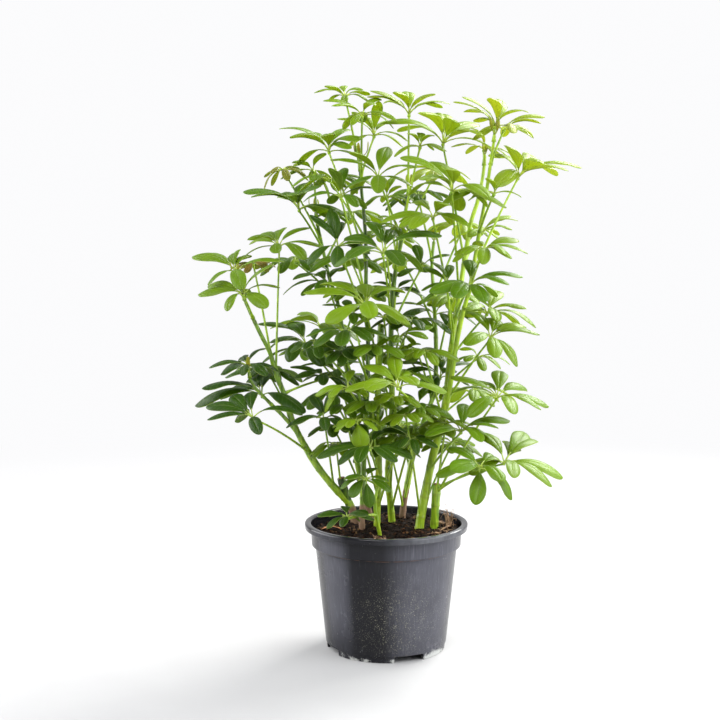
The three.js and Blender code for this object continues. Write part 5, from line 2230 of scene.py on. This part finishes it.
@dataclass
class Litter:
    """Loose surface roots and a fallen, curled leaflet."""

    finishes: Finishes
    soil: Soil
    radius: float = 1.1
    hairs: int = 9
    tangled: int = 14
    roots: dict[str, tuple[Pixel, ...]] = field(
        default_factory=lambda: {
            "root_right": ((58, 34), (66, 20), (73, 8), (70, -8), (62, -18)),
            "root_middle": ((52, -30), (60, -34), (66, -30), (68, -22)),
            "root_front": ((-2, -58), (-8, -64), (-14, -60), (-12, -52)),
        }
    )

    def root(self, name: str, draw: Draws) -> None:
        """Adds one knobbly root with the thin hairs that branch from it.

        Args:
            name: Its node.
            draw: The numbers to draw from.
        """
        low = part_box(name)[0][2] / MM
        line = [vec(x, y, self.soil.height(x, y) + self.soil.relief) for x, y in self.roots[name]]
        path = Path(line)
        drop = path.points[:, 2].min() - self.radius - low
        path = Path(path.points - vec(0, 0, drop), False)

        def knobbly(at: Array) -> Array:
            """Radius at shares of the root's length."""
            return self.radius * (0.95 + 0.16 * np.sin(at * 37) - 0.35 * at**3)

        maker = MeshMaker(name + "_bark")
        maker.tube(path, knobbly, vec(0.5, 0.5, 0), 1.2, 9)
        for _ in range(self.hairs):
            start = path.at(draw.between(0.05, 0.95))
            way = TURN * draw()
            knots = [start]
            for _ in range(4):
                step = draw.between(2.5, 5.0)
                spot = knots[-1] + vec(step * math.cos(way), step * math.sin(way), 0)
                if math.hypot(*spot[:2]) > self.soil.edge:
                    break
                spot[2] = self.soil.top(*spot[:2]) + draw.between(0.0, 2.6)
                knots.append(spot)
                way += draw.between(-0.8, 0.8)
            if len(knots) > 2:
                maker.tube(Path(knots), tapered(0.42, 0.6), vec(0.6, 0.5, 0), 1.6, 5)
        if name == "root_right":
            self.tangle(maker, draw)
        settle(maker.build(self.finishes.root), "root", name)

    def tangle(self, maker: MeshMaker, draw: Draws) -> None:
        """Adds the dry root hairs that stand up from the soil at the right of the rim.

        Args:
            maker: Where they go.
            draw: The numbers to draw from.
        """
        for _ in range(self.tangled):
            x, y = draw.between(68, 80), draw.between(-14, 18)
            spot = vec(x, y, self.soil.top(x, y) - 1.0)
            way, rise = TURN * draw(), draw.between(1.0, 3.2)
            knots = [spot]
            for k in range(5):
                step = draw.between(3.0, 5.0)
                spot = spot + step * vec(0.55 * math.cos(way), 0.55 * math.sin(way), rise * (1 - 0.36 * k))
                if math.hypot(*spot[:2]) > self.soil.edge + 1:
                    spot = spot * vec(0.97, 0.97, 1)
                knots.append(spot)
                way += draw.between(-0.9, 0.9)
            thick = draw.between(0.28, 0.5)
            maker.tube(Path(knots), tapered(thick, 0.65), vec(0.6, 0.5, 0), 1.4, 5)

    def leaflet(self, draw: Draws) -> None:
        """Adds the fallen leaflet, curled at its edges.

        Args:
            draw: The numbers to draw from.
        """
        low, high = (np.array(corner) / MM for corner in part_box("fallen_leaflet"))
        hub = vec(high[0], (low[1] + high[1]) / 2 - 2, high[2] - 1.5)
        tip = vec(low[0], (low[1] + high[1]) / 2 + 2, high[2] - 2.5)
        maker = MeshMaker("fallen_leaflet_skin")
        Leaflet(hub, tip, vec(0, 0, 1), 0.1, vec(0, 1, 0.5), draw).grow(maker)
        settle(maker.build(self.finishes.dry), "dead_leaf", "fallen_leaflet")

    def build(self) -> None:
        """Builds the roots and the leaflet."""
        draw = Draws(8123)
        for name in self.roots:
            self.root(name, draw)
        self.leaflet(draw)


# ---- The plant ---------------------------------


@dataclass
class Plant:
    """All canes with their leaves, as one stem piece and one foliage piece for each solid."""

    finishes: Finishes

    def build(self) -> None:
        """Builds every cane and leaf."""
        canes = {plan.name: Cane(plan) for plan in CANES}
        nodes = dict.fromkeys(plan.node for plan in CANES)
        stems = {node: MeshMaker(node + "_stem") for node in nodes}
        blades = {node: MeshMaker(node + "_leaflets") for node in nodes}
        corners = {node: self.corners(node) for node in nodes}
        for cane in canes.values():
            cane.grow(stems[cane.plan.node], blades[cane.plan.node])
        for number, plan in enumerate((*LEAVES, *BACK_LEAVES, *FINE_LEAVES)):
            cane = canes[plan.cane]
            node = cane.plan.node
            leaf = Leaf(plan, number, cane.row_point(plan.row), plan in FINE_LEAVES)
            leaf.grow(blades[node], stems[node], corners[node])
        for node in nodes:
            settle(stems[node].build(self.finishes.stem), "foliage", node)
            settle(blades[node].build(self.finishes.leaf), "foliage", node)

    @staticmethod
    def corners(node: str) -> KDTree:
        """Gathers the corners of a solid.

        Args:
            node: Its node.

        Returns:
            The corners in millimetres, ready to search.
        """
        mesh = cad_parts[node].data
        tree = KDTree(len(mesh.vertices))
        for i, vertex in enumerate(mesh.vertices):
            tree.insert(vertex.co / MM, i)
        tree.balance()
        return tree


# ---- Studio ------------------------------------


@dataclass(frozen=True)
class Lamp:
    """A square soft light that looks at the plant."""

    name: str
    spot: Triple
    size: float
    power: float
    colour: Colour = (1.0, 1.0, 1.0)


@dataclass
class Studio:
    """A pale floor, a pale surround and soft lights."""

    finishes: Finishes
    radius: float = 6.0
    target: Triple = (0.0, 0.0, 0.33)
    sky: Colour = (0.97, 0.97, 0.98)
    shown: float = 1.0
    ambient: Pair = (0.11, 0.92)
    lamps: tuple[Lamp, ...] = (
        Lamp("window_high", (1.6, 1.7, 2.4), 2.0, 245.0, (1.0, 0.99, 0.96)),
        Lamp("window_side", (2.05, -0.75, 1.05), 2.5, 122.0, (0.98, 0.99, 1.0)),
        Lamp("left_soft", (-2.15, 0.45, 0.95), 2.3, 92.0),
        Lamp("front_fill", (-1.0, -2.2, 2.5), 2.0, 112.0),
    )

    def floor(self) -> None:
        """Lays the floor."""
        mesh = bmesh.new()
        bmesh.ops.create_circle(mesh, cap_ends=True, segments=96, radius=self.radius)
        floor = object_of(mesh, "floor")
        floor.data.materials.append(self.finishes.floor)

    def world(self) -> None:
        """Sets the pale surround, which lights more from behind the plant than from its front."""
        world = bpy.data.worlds.new("surround")
        world.use_nodes = True
        nodes = Nodes(world.node_tree)
        world.node_tree.nodes.clear()
        back = nodes.parts(nodes.add("ShaderNodeTexCoord").outputs["Generated"])[1]
        glow = nodes.step(back, -0.45, 0.15, self.ambient)
        seen = nodes.add("ShaderNodeLightPath").outputs["Is Camera Ray"]
        strength = nodes.add("ShaderNodeMix")
        for index, value in ((0, seen), (2, glow), (3, self.shown)):
            nodes.put(strength.inputs[index], value)
        sky = nodes.add("ShaderNodeBackground", self.sky, strength.outputs[0])
        nodes.add("ShaderNodeOutputWorld", sky.outputs[0])
        bpy.context.scene.world = world

    def light(self, lamp: Lamp) -> None:
        """Hangs one lamp.

        Args:
            lamp: The lamp.
        """
        data = bpy.data.lights.new(lamp.name, "AREA")
        data.size = lamp.size
        data.energy = lamp.power
        data.color = lamp.colour
        made = bpy.data.objects.new(lamp.name, data)
        made.location = lamp.spot
        way = Vector(self.target) - Vector(lamp.spot)
        made.rotation_euler = way.to_track_quat("-Z", "Y").to_euler()
        bpy.context.scene.collection.objects.link(made)

    def build(self) -> None:
        """Builds the studio."""
        self.floor()
        self.world()
        for lamp in self.lamps:
            self.light(lamp)
        scene = bpy.context.scene
        scene.view_settings.view_transform = "Standard"
        scene.view_settings.look = "None"
        VIEW.camera()


def main() -> None:
    """Builds the plant, its pot and the studio."""
    logging.basicConfig(level=logging.INFO, format="%(name)s: %(message)s")
    finishes = Finishes()
    pot = Pot(finishes)
    pot.build()
    soil = Soil(finishes, pot.sizes)
    soil.build()
    Litter(finishes, soil).build()
    Plant(finishes).build()
    Studio(finishes).build()


if __name__ == "__main__":
    main()
